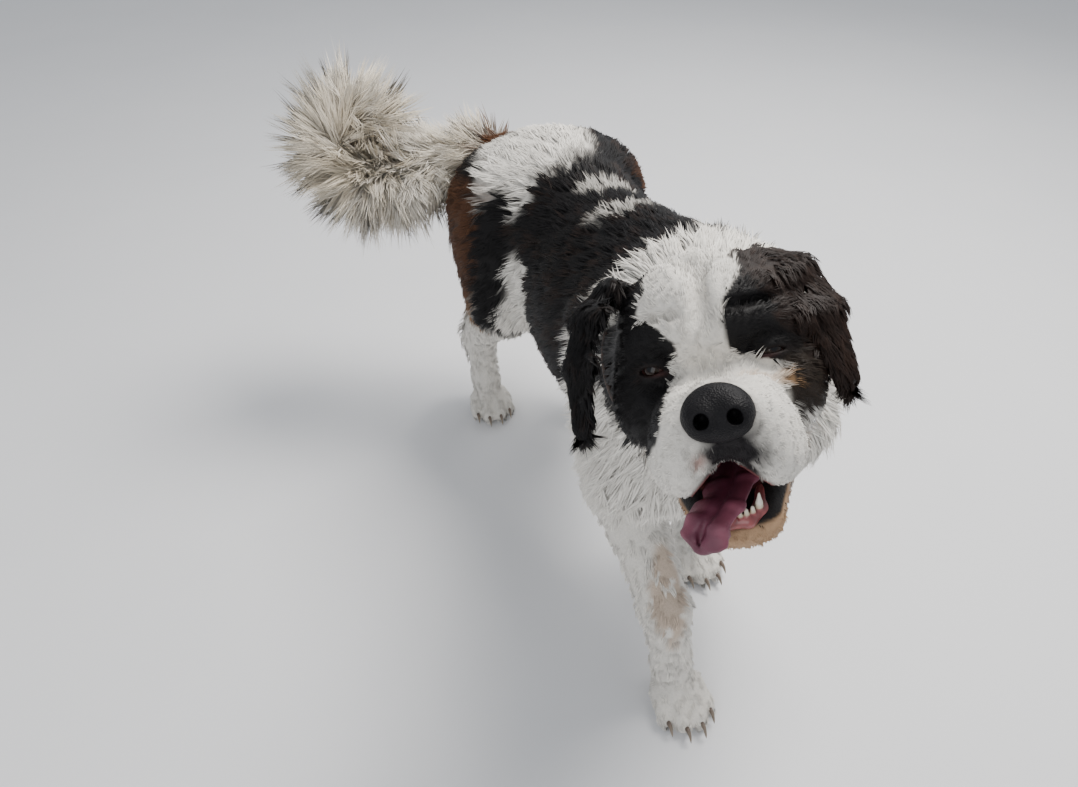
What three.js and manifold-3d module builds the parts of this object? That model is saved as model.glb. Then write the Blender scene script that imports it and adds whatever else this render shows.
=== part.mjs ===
// A saint bernard, life size, walking with its head turned up to its right, its mouth open and its tail swept out.
// Millimetres: forward is -Y, the dog's left is +X, up is +Z, and its paws stand on Z = 0.
import * as THREE from "three";
import Module from "manifold-3d";

const wasm = await Module();
wasm.setup();

const GAP = 0.3; // between nodes that touch
const DEG = Math.PI / 180;
const FAR = 2000; // longer than the dog

// The middle of the dog's own box, which becomes the origin
const ORIGIN = [-147, 23, 0];

// Triangles kept in each stretch of skin before it is parted
const BODY_TRIANGLES = 1600;
const HEAD_TRIANGLES = 1650;
const PAW_TRIANGLES = 190;
const TAIL_TRIANGLES = 260;
const EAR_TRIANGLES = 170;

// Vectors as plain arrays
const add = (a, b) => [a[0] + b[0], a[1] + b[1], a[2] + b[2]];
const sub = (a, b) => [a[0] - b[0], a[1] - b[1], a[2] - b[2]];
const mul = (a, s) => [a[0] * s, a[1] * s, a[2] * s];
const dot = (a, b) => a[0] * b[0] + a[1] * b[1] + a[2] * b[2];
const cross = (a, b) => [a[1] * b[2] - a[2] * b[1], a[2] * b[0] - a[0] * b[2], a[0] * b[1] - a[1] * b[0]];
const unit = (a) => mul(a, 1 / Math.hypot(...a));
const along = (a, b, t) => add(a, mul(sub(b, a), t));
const mirrored = (a, side) => [a[0] * side, a[1], a[2]];

// Fields: a function of a point that is negative inside and grows about as fast as the distance
const join = (a, b, k) => {
  const h = Math.max(k - Math.abs(a - b), 0) / k;
  return Math.min(a, b) - h * h * k * 0.25;
};
const carve = (a, b, k) => -join(-a, b, k);

// An ellipsoid with radii along its frame's axes
function egg(c, r, frame) {
  const [rx, ry, rz] = r;
  return (x, y, z) => {
    let [dx, dy, dz] = [x - c[0], y - c[1], z - c[2]];
    if (frame) [dx, dy, dz] = frame.map((axis) => axis[0] * dx + axis[1] * dy + axis[2] * dz);
    const k0 = Math.hypot(dx / rx, dy / ry, dz / rz);
    const k1 = Math.hypot(dx / rx / rx, dy / ry / ry, dz / rz / rz);
    return k1 > 0 ? (k0 * (k0 - 1)) / k1 : -Math.min(rx, ry, rz);
  };
}

// A tapered capsule from a to b
function limb(a, b, ra, rb) {
  const d = sub(b, a);
  const length2 = dot(d, d);
  return (x, y, z) => {
    const [px, py, pz] = [x - a[0], y - a[1], z - a[2]];
    const t = Math.min(1, Math.max(0, (px * d[0] + py * d[1] + pz * d[2]) / length2));
    return Math.hypot(px - t * d[0], py - t * d[1], pz - t * d[2]) - ra - (rb - ra) * t;
  };
}

// A flat strap from a to b, with half widths wa and wb across it and half thickness h
function strap(a, b, wa, wb, h, across) {
  const d = sub(b, a);
  const e = unit(d);
  const side = unit(sub(across, mul(e, dot(across, e))));
  const length2 = dot(d, d);
  return (x, y, z) => {
    const p = [x - a[0], y - a[1], z - a[2]];
    const t = Math.min(1, Math.max(0, dot(p, d) / length2));
    const w = wa + (wb - wa) * t;
    const q = sub(p, mul(d, t));
    const v = dot(q, side);
    const rest = sub(q, mul(side, v));
    return Math.hypot(Math.hypot(...rest), (v * h) / w) - h;
  };
}

function blended(parts, k) {
  return (x, y, z) => {
    let value = parts[0](x, y, z);
    for (let i = 1; i < parts.length; i++) value = join(value, parts[i](x, y, z), k);
    return value;
  };
}

// Limbs end to end through points, each with its own radius
const chain = (points, radii, k) =>
  blended(points.slice(1).map((p, i) => limb(points[i], p, radii[i], radii[i + 1])), k);

// Trunk and neck
const TRUNK = [
  egg([0, -62, 545], [160, 262, 196]), // ribs
  egg([0, -262, 540], [150, 130, 165]), // breast
  egg([0, -185, 650], [112, 150, 104]), // withers
  egg([0, 110, 502], [130, 220, 126]), // belly
  egg([0, 205, 594], [138, 200, 136]), // loin
  egg([0, 325, 612], [148, 118, 118]), // croup
];
const NECK_BASE = [0, -235, 618];
const NECK_MID = [-58, -352, 694];
const NECK_TOP = [-118, -452, 768];
const NECK = [
  limb(NECK_BASE, NECK_MID, 158, 138),
  limb(NECK_MID, NECK_TOP, 138, 112),
  limb([-20, -350, 560], [-118, -478, 700], 98, 84), // throat
];

// The tail's bones, from the croup out to its right, and the middle of the plume that they curl round
const PLUME = [-318, 560, 655];
const TAIL = [
  [-5, 400, 655], [-80, 492, 625], [-155, 535, 606], [-240, 545, 588],
  [-325, 530, 598], [-372, 570, 655], [-330, 612, 706], [-270, 575, 690],
];

// Legs: joints from the top down, and the radius at each
const FORE_RADII = [88, 84, 62, 43, 38];
const HIND_RADII = [112, 72, 40, 36];
const LEGS = {
  fore_right: {
    joints: [[-100, -215, 620], [-112, -330, 520], [-116, -275, 400], [-84, -398, 205], [-74, -425, 75]],
    radii: FORE_RADII,
    paw: [-70, -452, 0],
    heading: -4,
  },
  fore_left: {
    joints: [[100, -215, 620], [112, -320, 520], [118, -205, 400], [108, -180, 200], [104, -172, 75]],
    radii: FORE_RADII,
    paw: [104, -196, 0],
    heading: 6,
  },
  hind_right: {
    joints: [[-90, 320, 585], [-122, 245, 425], [-124, 452, 200], [-118, 436, 70]],
    radii: HIND_RADII,
    paw: [-118, 412, 0],
    heading: -8,
  },
  hind_left: {
    joints: [[88, 320, 585], [122, 165, 425], [112, 325, 202], [108, 268, 68]],
    radii: HIND_RADII,
    paw: [108, 236, 0],
    heading: 8,
  },
};
const BUTTOCKS = [-1, 1].map((side) => egg([90 * side, 390, 540], [86, 96, 138]));
const HAMS = [-1, 1].map((side) => egg([114 * side, 312, 512], [84, 128, 154]));

// A paw: where its four toes start and end and their radii, before it is turned to its heading
const PAW = {
  toes: [
    { from: [-34, 8, 34], to: [-39, -34, 19], r: 18 },
    { from: [-12, -4, 40], to: [-14, -52, 20], r: 19.5 },
    { from: [12, -4, 40], to: [14, -52, 20], r: 19.5 },
    { from: [34, 8, 34], to: [39, -34, 19], r: 18 },
  ],
  soleLift: -2, // the pads are pressed this far below the floor, and cut flat by it
};

// Turns a point about the vertical by the paw's heading and moves it to the paw's place
function pawPlace(leg, p) {
  const a = leg.heading * DEG;
  const [c, s] = [Math.cos(a), Math.sin(a)];
  return add(leg.paw, [c * p[0] - s * p[1], s * p[0] + c * p[1], p[2] + PAW.soleLift]);
}

function pawField(leg) {
  const frame = [
    unit(sub(pawPlace(leg, [1, 0, 0]), pawPlace(leg, [0, 0, 0]))),
    unit(sub(pawPlace(leg, [0, 1, 0]), pawPlace(leg, [0, 0, 0]))),
    [0, 0, 1],
  ];
  const pad = egg(pawPlace(leg, [0, 14, 34]), [43, 44, 36], frame);
  const toes = PAW.toes.map((t) => limb(pawPlace(leg, t.from), pawPlace(leg, t.to), t.r, t.r - 1));
  return blended([pad, ...toes], 7);
}

const legField = (leg) => chain(leg.joints, leg.radii, 30);

// The head's own frame: x to its left, y backward, z up, from the point midway between the eyes
const HEAD = { origin: [-190, -555, 860], yaw: -36, pitch: 32, roll: 18.5 };
const headTurn = new THREE.Matrix4()
  .makeRotationZ(HEAD.yaw * DEG)
  .multiply(new THREE.Matrix4().makeRotationX(-HEAD.pitch * DEG))
  .multiply(new THREE.Matrix4().makeRotationY(-HEAD.roll * DEG));
const headAxes = [0, 1, 2].map((i) => new THREE.Vector3().setFromMatrixColumn(headTurn, i).toArray());
const fromHead = (p) =>
  add(HEAD.origin, add(mul(headAxes[0], p[0]), add(mul(headAxes[1], p[1]), mul(headAxes[2], p[2]))));
const toHead = (x, y, z) => {
  const d = [x - HEAD.origin[0], y - HEAD.origin[1], z - HEAD.origin[2]];
  return headAxes.map((axis) => dot(axis, d));
};
const headDirection = (p) => sub(fromHead(p), HEAD.origin);

// The lower jaw hangs from its hinge, opened by this angle
const JAW = { hinge: [0, 42, -60], open: 23 };
const [jawCos, jawSin] = [Math.cos(JAW.open * DEG), Math.sin(JAW.open * DEG)];
const fromJaw = (p) => {
  const [dy, dz] = [p[1] - JAW.hinge[1], p[2] - JAW.hinge[2]];
  return [p[0], JAW.hinge[1] + dy * jawCos - dz * jawSin, JAW.hinge[2] + dy * jawSin + dz * jawCos];
};
const toJaw = (x, y, z) => {
  const [dy, dz] = [y - JAW.hinge[1], z - JAW.hinge[2]];
  return [x, JAW.hinge[1] + dy * jawCos + dz * jawSin, JAW.hinge[2] - dy * jawSin + dz * jawCos];
};

const EYE = { at: [52, -4, 6], radius: 13.5, lid: 3.2, slit: { right: [15, 6], left: [15, 3.6] } };
const NOSE = { at: [0, -130, -26], half: [28, 19, 24] };

const both = (make) => [-1, 1].map(make);
const UPPER_FACE = [
  egg([0, 74, 28], [96, 100, 86]), // cranium
  egg([0, 22, 44], [74, 62, 58]), // forehead
  ...both((s) => egg([64 * s, 50, -28], [42, 66, 58])), // cheeks
  ...both((s) => limb([26 * s, 0, -38], [25 * s, -98, -42], 35, 33)), // muzzle
  egg([0, 66, -62], [66, 70, 46]), // throat
];
const BROWS = both((s) => limb([22 * s, -18, 32], [62 * s, 2, 26], 17, 15));
const FLEWS = both((s) => egg([37 * s, -74, -66], [31, 54, 37]));
const JAW_PARTS = [
  ...both((s) => limb([48 * s, 36, -78], [22 * s, -82, -86], 26, 19)),
  egg([0, -84, -88], [36, 27, 21]), // chin
  ...both((s) => limb([48 * s, 10, -76], [27 * s, -84, -83], 11, 9)), // lower lips
];
const MOUTH = egg([0, -52, -86], [35, 82, 20], [
  [1, 0, 0],
  [0, Math.cos(12 * DEG), Math.sin(12 * DEG)],
  [0, -Math.sin(12 * DEG), Math.cos(12 * DEG)],
]);

// Each ear: its line from inside the skull over its fold to its tip, and its half width there
const EARS = {
  right: {
    line: [[-64, 64, 62], [-92, 60, 90], [-122, 50, 66], [-134, 38, 18], [-138, 28, -44]],
    widths: [30, 42, 47, 41, 19],
    across: [-0.55, 1, 0],
    cup: [-108, 44, 20],
  },
  left: {
    line: [[46, 66, 62], [66, 62, 92], [94, 52, 78], [112, 40, 32], [119, 28, -38]],
    widths: [30, 42, 48, 42, 19],
    across: [0.7, 1, 0],
    cup: [84, 44, 28],
  },
};
const EAR_HALF_THICKNESS = 9;

function earField({ line, widths, across, cup }) {
  const straps = line
    .slice(1)
    .map((p, i) => strap(line[i], p, widths[i], widths[i + 1], EAR_HALF_THICKNESS, across));
  const leaf = blended(straps, 12);
  const hollow = egg(cup, [18, 30, 44]);
  return (x, y, z) => carve(leaf(x, y, z), hollow(x, y, z), 5);
}

// The almond between the lids, seen along the eye's own forward line
function lidOpening(side) {
  const c = mirrored(EYE.at, side);
  const [half, rise] = side < 0 ? EYE.slit.right : EYE.slit.left;
  const r = (half * half + rise * rise) / (2 * rise);
  const out = unit([0.42 * side, -1, 0.05]);
  const across = unit(cross(out, [0, 0, 1]));
  const up = cross(across, out);
  return (x, y, z) => {
    const d = [x - c[0], y - c[1], z - c[2]];
    const [v, w, depth] = [dot(d, across), dot(d, up) + 1.5, dot(d, out)];
    const almond = Math.max(Math.hypot(v, w - (r - rise)), Math.hypot(v, w + (r - rise))) - r;
    return Math.max(almond, -depth);
  };
}

const upperFace = blended(UPPER_FACE, 26);
const jawField = blended(JAW_PARTS, 12);
const lids = both((s) => {
  const r = EYE.radius + EYE.lid;
  return egg(mirrored(EYE.at, s), [r, r, r]);
});
const slits = [lidOpening(-1), lidOpening(1)];
const sockets = both((s) => egg([56 * s, -26, 6], [20, 14, 13]));
const noseBed = egg([0, -112, -25], [29, 24, 27]);

// The head's skin in its own frame, with the mouth opened and the lids parted over the eyes
function headLocal(x, y, z) {
  let d = upperFace(x, y, z);
  for (const b of BROWS) d = join(d, b(x, y, z), 20);
  for (const f of FLEWS) d = join(d, f(x, y, z), 14);
  d = join(d, noseBed(x, y, z), 12);
  for (const s of sockets) d = carve(d, s(x, y, z), 16);
  for (const lid of lids) d = join(d, lid(x, y, z), 8);
  d = join(d, jawField(...toJaw(x, y, z)), 9);
  d = carve(d, MOUTH(x, y, z), 8);
  slits.forEach((slit, i) => {
    d = carve(d, Math.max(slit(x, y, z), lids[i](x, y, z) - 6), 2);
  });
  return d;
}
const headField = (x, y, z) => headLocal(...toHead(x, y, z));

// The nose pad in the head's frame, with its nostrils, their side slits and the groove between them
const nostrils = both((s) => egg([12.5 * s, -145, -28], [6, 14, 6.5]));
const nostrilSlits = both((s) => limb([15 * s, -147, -31], [25 * s, -135, -35], 3.2, 2.4));
const philtrum = egg([0, -151, -42], [1.8, 8, 14]);
function noseLocal(x, y, z) {
  let d = join(
    egg(NOSE.at, NOSE.half)(x, y, z),
    join(egg([12, -137, -28], [16, 16, 17])(x, y, z), egg([-12, -137, -28], [16, 16, 17])(x, y, z), 6),
    6,
  );
  for (const n of nostrils) d = carve(d, n(x, y, z), 3);
  for (const n of nostrilSlits) d = carve(d, n(x, y, z), 3);
  return carve(d, philtrum(x, y, z), 2);
}

// The tongue in the jaw's frame, out over the right lower lip, with a shallow groove along it
const TONGUE = [[4, -10, -66], [0, -62, -62], [-12, -96, -60], [-24, -112, -64], [-31, -117, -75], [-33, -119, -82]];
const TONGUE_WIDTHS = [22, 24, 25, 25, 20, 11];
const tongueLocal = blended(
  TONGUE.slice(1).map((p, i) => strap(TONGUE[i], p, TONGUE_WIDTHS[i], TONGUE_WIDTHS[i + 1], 5.5, [1, -0.25, 0.35])),
  8,
);

// The lower gum with its teeth, in the jaw's frame
const GUM = [[-24, -62, -72], [-20, -88, -73], [-9, -101, -73], [9, -101, -73], [20, -88, -73], [24, -62, -72]];
const gumLocal = chain(GUM, [6, 7, 6, 6, 7, 6], 4);
const INCISORS = [-14, -8.5, -3, 3, 8.5, 14];
const CANINES = [-19, 19];

const trunkField = blended(TRUNK, 60);
const neckField = blended(NECK, 40);
const legFields = Object.values(LEGS).map(legField);
const pawFields = Object.values(LEGS).map(pawField);
function bodyField(x, y, z) {
  let d = join(trunkField(x, y, z), neckField(x, y, z), 60);
  for (const b of BUTTOCKS) d = join(d, b(x, y, z), 40);
  for (const h of HAMS) d = join(d, h(x, y, z), 40);
  for (const leg of legFields) d = join(d, leg(x, y, z), 46);
  for (const paw of pawFields) d = join(d, paw(x, y, z), 12);
  return d;
}
const dogField = (x, y, z) => join(bodyField(x, y, z), headField(x, y, z), 30);

// Six tetrahedra fill a cube, all turned the same way. A corner's bits are its x, y and z
const TETRAHEDRA = [[0, 1, 3, 7], [0, 3, 2, 7], [0, 2, 6, 7], [0, 6, 4, 7], [0, 4, 5, 7], [0, 5, 1, 7]];
const FRONT = { 1: [0, 1, 2, 3], 2: [1, 0, 3, 2], 4: [2, 3, 0, 1], 8: [3, 2, 1, 0] };
const PAIR = { 3: [0, 1, 2, 3], 5: [0, 2, 3, 1], 9: [0, 3, 1, 2], 6: [1, 2, 0, 3], 10: [1, 3, 2, 0], 12: [2, 3, 0, 1] };

// The closed surface of a field inside a box, on a grid of the cell's size. Blocks of cells far from it are skipped
const BLOCK = 5;
function surfaceOf(field, low, high, cell) {
  const n = [0, 1, 2].map((i) => Math.ceil((high[i] - low[i]) / cell) + 1);
  const node = (i, j, k) => (k * n[1] + j) * n[0] + i;
  const values = new Float32Array(n[0] * n[1] * n[2]);
  const reach = BLOCK * cell * 1.6;
  const starts = (count) => Array.from({ length: Math.ceil(count / BLOCK) }, (_, i) => i * BLOCK);
  for (const k0 of starts(n[2]))
    for (const j0 of starts(n[1]))
      for (const i0 of starts(n[0])) {
        const centre = [i0, j0, k0].map((q, a) => low[a] + (q + BLOCK / 2) * cell);
        const far = field(...centre);
        for (let k = k0; k < Math.min(k0 + BLOCK, n[2]); k++)
          for (let j = j0; j < Math.min(j0 + BLOCK, n[1]); j++)
            for (let i = i0; i < Math.min(i0 + BLOCK, n[0]); i++) {
              const rim = [i, j, k].some((q, a) => q === 0 || q === n[a] - 1);
              const place = [low[0] + i * cell, low[1] + j * cell, low[2] + k * cell];
              const v = Math.abs(far) > reach ? far : field(...place);
              values[node(i, j, k)] = rim ? Math.max(v, cell) : v;
            }
      }
  const positions = [];
  const faces = [];
  const crossings = new Map();
  const corner = new Array(8);
  const at = (c) => [corner[0][0] + (c & 1), corner[0][1] + ((c >> 1) & 1), corner[0][2] + (c >> 2)];
  const crossing = (a, b) => {
    const [lowC, highC] = a < b ? [a, b] : [b, a];
    const key = node(...at(lowC)) * 8 + (lowC ^ highC);
    if (crossings.has(key)) return crossings.get(key);
    const [va, vb] = [values[node(...at(lowC))], values[node(...at(highC))]];
    const t = Math.min(0.96, Math.max(0.04, va / (va - vb)));
    const [pa, pb] = [at(lowC), at(highC)];
    positions.push([0, 1, 2].map((q) => low[q] + cell * (pa[q] + (pb[q] - pa[q]) * t)));
    crossings.set(key, positions.length - 1);
    return positions.length - 1;
  };
  const step = [0, 1, 2, 3, 4, 5, 6, 7].map((c) => node(c & 1, (c >> 1) & 1, c >> 2));
  for (let k = 0; k < n[2] - 1; k++)
    for (let j = 0; j < n[1] - 1; j++)
      for (let i = 0; i < n[0] - 1; i++) {
        const base = node(i, j, k);
        let inside = 0;
        for (let c = 0; c < 8; c++) if (values[base + step[c]] < 0) inside++;
        if (inside === 0 || inside === 8) continue;
        corner[0] = [i, j, k];
        for (const tet of TETRAHEDRA) {
          let bits = 0;
          tet.forEach((c, q) => {
            if (values[base + step[c]] < 0) bits |= 1 << q;
          });
          if (bits === 0 || bits === 15) continue;
          const one = FRONT[bits] || FRONT[15 - bits];
          if (one) {
            const [a, b, c, d] = one.map((q) => tet[q]);
            const tri = [crossing(a, b), crossing(a, c), crossing(a, d)];
            faces.push(FRONT[bits] ? tri : [tri[0], tri[2], tri[1]]);
          } else {
            const [a, b, c, d] = PAIR[bits].map((q) => tet[q]);
            const quad = [crossing(a, c), crossing(a, d), crossing(b, d), crossing(b, c)];
            faces.push([quad[0], quad[1], quad[2]], [quad[0], quad[2], quad[3]]);
          }
        }
      }
  return { positions, faces };
}

// Collapses the edges that bend the surface least until about `wanted` triangles are left
function thinned({ positions, faces }, wanted) {
  const quadrics = positions.map(() => new Float64Array(10));
  const around = positions.map(() => new Set());
  const alive = new Uint8Array(faces.length).fill(1);
  const stamp = new Uint32Array(positions.length);
  const normalOf = (a, b, c) => cross(sub(b, a), sub(c, a));
  faces.forEach((face, f) => {
    const corners = face.map((v) => positions[v]);
    const n = normalOf(...corners);
    const size = Math.hypot(...n);
    for (const v of face) around[v].add(f);
    if (size < 1e-12) return;
    const [a, b, c] = mul(n, 1 / size);
    const d = -dot([a, b, c], corners[0]);
    const plane = [a * a, a * b, a * c, a * d, b * b, b * c, b * d, c * c, c * d, d * d];
    for (const v of face) plane.forEach((q, i) => (quadrics[v][i] += (q * size) / 2));
  });
  const cost = (q, [x, y, z]) =>
    q[0] * x * x + 2 * q[1] * x * y + 2 * q[2] * x * z + 2 * q[3] * x + q[4] * y * y +
    2 * q[5] * y * z + 2 * q[6] * y + q[7] * z * z + 2 * q[8] * z + q[9];
  const best = (u, v) => {
    const q = quadrics[u].map((value, i) => value + quadrics[v][i]);
    const det =
      q[0] * (q[4] * q[7] - q[5] * q[5]) - q[1] * (q[1] * q[7] - q[5] * q[2]) + q[2] * (q[1] * q[5] - q[4] * q[2]);
    const scale = (q[0] + q[4] + q[7]) / 3;
    const middle = along(positions[u], positions[v], 0.5);
    const tries = [middle, positions[u], positions[v]];
    if (Math.abs(det) > 1e-4 * scale ** 3) {
      const [r, s, t] = [-q[3], -q[6], -q[8]];
      const x = (r * (q[4] * q[7] - q[5] * q[5]) - q[1] * (s * q[7] - q[5] * t) + q[2] * (s * q[5] - q[4] * t)) / det;
      const y = (q[0] * (s * q[7] - q[5] * t) - r * (q[1] * q[7] - q[5] * q[2]) + q[2] * (q[1] * t - s * q[2])) / det;
      const z = (q[0] * (q[4] * t - s * q[5]) - q[1] * (q[1] * t - s * q[2]) + r * (q[1] * q[5] - q[4] * q[2])) / det;
      const span = Math.hypot(...sub(positions[u], positions[v]));
      if (Math.hypot(...sub([x, y, z], middle)) < 2 * span) tries.push([x, y, z]);
    }
    const costs = tries.map((p) => cost(q, p));
    const i = costs.indexOf(Math.min(...costs));
    return { cost: costs[i], at: tries[i] };
  };
  const heap = [];
  const push = (item) => {
    heap.push(item);
    let i = heap.length - 1;
    while (i > 0) {
      const parent = (i - 1) >> 1;
      if (heap[parent].cost <= heap[i].cost) break;
      [heap[parent], heap[i]] = [heap[i], heap[parent]];
      i = parent;
    }
  };
  const pop = () => {
    const top = heap[0];
    const last = heap.pop();
    if (heap.length) {
      heap[0] = last;
      let i = 0;
      for (;;) {
        let small = i;
        for (const child of [2 * i + 1, 2 * i + 2])
          if (child < heap.length && heap[child].cost < heap[small].cost) small = child;
        if (small === i) break;
        [heap[small], heap[i]] = [heap[i], heap[small]];
        i = small;
      }
    }
    return top;
  };
  const offer = (u, v) => push({ ...best(u, v), u, v, mark: stamp[u] + stamp[v] });
  const neighbours = (v) => {
    const found = new Set();
    for (const f of around[v]) for (const w of faces[f]) if (w !== v) found.add(w);
    return found;
  };
  faces.forEach((face) =>
    face.forEach((u, i) => {
      const v = face[(i + 1) % 3];
      if (u < v) offer(u, v);
    }),
  );
  let left = faces.length;
  while (left > wanted && heap.length) {
    const { u, v, at, mark } = pop();
    if (!around[u].size || !around[v].size || mark !== stamp[u] + stamp[v]) continue;
    const ring = neighbours(u);
    if (!ring.has(v)) continue;
    const shared = [...neighbours(v)].filter((w) => ring.has(w));
    if (shared.length !== 2) continue;
    const folds = [u, v].some((end) =>
      [...around[end]].some((f) => {
        if (faces[f].includes(u) && faces[f].includes(v)) return false;
        const before = faces[f].map((w) => positions[w]);
        const after = faces[f].map((w) => (w === end ? at : positions[w]));
        const [n0, n1] = [normalOf(...before), normalOf(...after)];
        return dot(n0, n1) < 0.3 * Math.hypot(...n0) * Math.hypot(...n1) || Math.hypot(...n1) < 1e-9;
      }),
    );
    if (folds) continue;
    for (const f of [...around[v]]) {
      if (faces[f].includes(u)) {
        for (const w of faces[f]) around[w].delete(f);
        alive[f] = 0;
        left--;
      } else {
        faces[f] = faces[f].map((w) => (w === v ? u : w));
        around[u].add(f);
      }
    }
    around[v].clear();
    positions[u] = at;
    quadrics[v].forEach((q, i) => (quadrics[u][i] += q));
    stamp[u] += 1;
    stamp[v] += 1;
    for (const w of neighbours(u)) offer(Math.min(u, w), Math.max(u, w));
  }
  return { positions, faces: faces.filter((_, f) => alive[f]) };
}

// Solids
function solid({ positions, faces }) {
  const used = new Map();
  const points = [];
  for (const face of faces)
    for (const v of face)
      if (!used.has(v)) {
        used.set(v, used.size);
        points.push(...positions[v]);
      }
  return new wasm.Manifold(
    new wasm.Mesh({
      numProp: 3,
      vertProperties: new Float32Array(points),
      triVerts: new Uint32Array(faces.flatMap((face) => face.map((v) => used.get(v)))),
    }),
  );
}

const skin = (field, low, high, cell, wanted) => thinned(surfaceOf(field, low, high, cell), wanted);

// The room a bedded piece needs: the piece itself, moved a little towards each corner of a tetrahedron
const WAYS = [[1, 1, 1], [1, -1, -1], [-1, 1, -1], [-1, -1, 1]];
function bed({ positions, faces }) {
  const moved = (way) => solid({ positions: positions.map((p) => add(p, mul(way, 2 * GAP))), faces });
  return WAYS.reduce((made, way) => made.add(moved(way)), solid({ positions, faces }));
}

// A surface made in a turned frame, in the dog's frame
const placed = ({ positions, faces }, from) => ({ positions: positions.map((p) => from(p)), faces });

// A straight spike from a to b with a flat base
function spike(a, b, r, sides) {
  const z = unit(sub(b, a));
  const x = unit(cross(Math.abs(z[0]) > 0.9 ? [0, 1, 0] : [1, 0, 0], z));
  const y = cross(z, x);
  const ring = Array.from({ length: sides }, (_, i) => {
    const t = (i / sides) * 2 * Math.PI;
    return add(a, add(mul(x, r * Math.cos(t)), mul(y, r * Math.sin(t))));
  });
  const faces = ring.map((_, i) => [i, (i + 1) % sides, sides]);
  for (let i = 1; i < sides - 1; i++) faces.push([0, i + 1, i]);
  return solid({ positions: [...ring, b], faces });
}

// A three.js geometry, moved by a matrix, as a solid
function fromGeometry(geometry, matrix = new THREE.Matrix4()) {
  const flat = (geometry.index ? geometry.toNonIndexed() : geometry).getAttribute("position");
  const positions = [];
  const seen = new Map();
  const faces = [];
  for (let i = 0; i < flat.count; i++) {
    const p = new THREE.Vector3().fromBufferAttribute(flat, i).applyMatrix4(matrix);
    const key = p.toArray().map((q) => Math.round(q * 1e4)).join();
    if (!seen.has(key)) {
      seen.set(key, positions.length);
      positions.push(p.toArray());
    }
    if (i % 3 === 0) faces.push([]);
    faces.at(-1).push(seen.get(key));
  }
  return solid({ positions, faces: faces.filter(([a, b, c]) => a !== b && b !== c && c !== a) });
}

// A block that fills everything on the side of a plane that its normal points to, within `reach` of a point
function beyond(point, normal, reach = [FAR, FAR], depth = FAR, turn = [0, 0, 1]) {
  const z = unit(normal);
  const x = unit(cross(Math.abs(dot(turn, z)) > 0.9 ? [1, 0, 0] : turn, z));
  const y = cross(z, x);
  const matrix = new THREE.Matrix4().makeBasis(...[x, y, z].map((a) => new THREE.Vector3(...a)));
  matrix.setPosition(...add(point, mul(z, depth / 2)));
  return fromGeometry(new THREE.BoxGeometry(reach[0], reach[1], depth), matrix);
}

// Parts a solid by a plane: what lies past it, and what is left a gap short of it
function part(whole, point, normal, reach, depth) {
  const n = unit(normal);
  const block = beyond(point, n, reach, depth);
  const grown = beyond(sub(point, mul(n, GAP)), n, reach && reach.map((r) => r + 2 * GAP), depth && depth + 2 * GAP);
  return [largest(whole.intersect(block)), largest(whole.subtract(grown))];
}

function largest(made) {
  const pieces = made.decompose();
  return pieces.reduce((a, b) => (b.volume() > a.volume() ? b : a));
}

// Where a line from inside a field comes out of it, and the way out there
function outOf(field, from, direction) {
  const d = unit(direction);
  let [inner, outer] = [0, 500];
  for (let i = 0; i < 30; i++) {
    const middle = (inner + outer) / 2;
    if (field(...add(from, mul(d, middle))) < 0) inner = middle;
    else outer = middle;
  }
  const at = add(from, mul(d, inner));
  const e = 1.5;
  const slope = [[e, 0, 0], [0, e, 0], [0, 0, e]].map((s) => field(...add(at, s)) - field(...sub(at, s)));
  return { at, out: unit(slope) };
}

// One lock of hair: flat, four points along it, widest near its root and tapering to its tip
function lock(line, side, width, thick) {
  const spread = [0.6, 1, 0.74];
  const positions = [];
  line.slice(0, 3).forEach((p, i) => {
    const way = unit(sub(line[i + 1], line[Math.max(i - 1, 0)]));
    const across = unit(sub(side, mul(way, dot(side, way))));
    const up = cross(way, across);
    const [w, t] = [(width / 2) * spread[i], (thick / 2) * spread[i]];
    positions.push(add(p, mul(across, w)), add(p, mul(up, t)), add(p, mul(across, -w)), add(p, mul(up, -t)));
  });
  positions.push(line[3]);
  const faces = [[0, 2, 1], [0, 3, 2]];
  for (let ring = 0; ring < 2; ring++)
    for (let i = 0; i < 4; i++) {
      const [a, b] = [ring * 4 + i, ring * 4 + ((i + 1) % 4)];
      faces.push([a, b, b + 4], [a, b + 4, a + 4]);
    }
  for (let i = 0; i < 4; i++) faces.push([8 + i, 8 + ((i + 1) % 4), 12]);
  const made = solid({ positions, faces });
  return made.volume() < 0 ? solid({ positions, faces: faces.map(([a, b, c]) => [a, c, b]) }) : made;
}

// A lock that lies along the coat: it starts `sink` under the skin, follows it, and lifts off a little at its tip
function lyingLock({ at, out }, lie, { length, width, thick, lift, sink }) {
  const flow = unit(sub(lie, mul(out, dot(lie, out))));
  const heights = [-sink, thick * 0.2, thick * 0.45, length * lift];
  const line = [0, 0.36, 0.72, 1].map((s, i) => {
    const p = add(at, mul(flow, length * s));
    return add(p, mul(out, heights[i] - Math.max(0, bodyField(...p))));
  });
  return lock(line, cross(out, flow), width, thick);
}

const withLocks = (host, locks) => locks.reduce((made, piece) => made.add(piece), host);

// Random draws that repeat
function draws(seed) {
  let state = seed;
  return (low, high) => {
    state = (state * 1664525 + 1013904223) % 4294967296;
    return low + ((high - low) * state) / 4294967296;
  };
}

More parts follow.
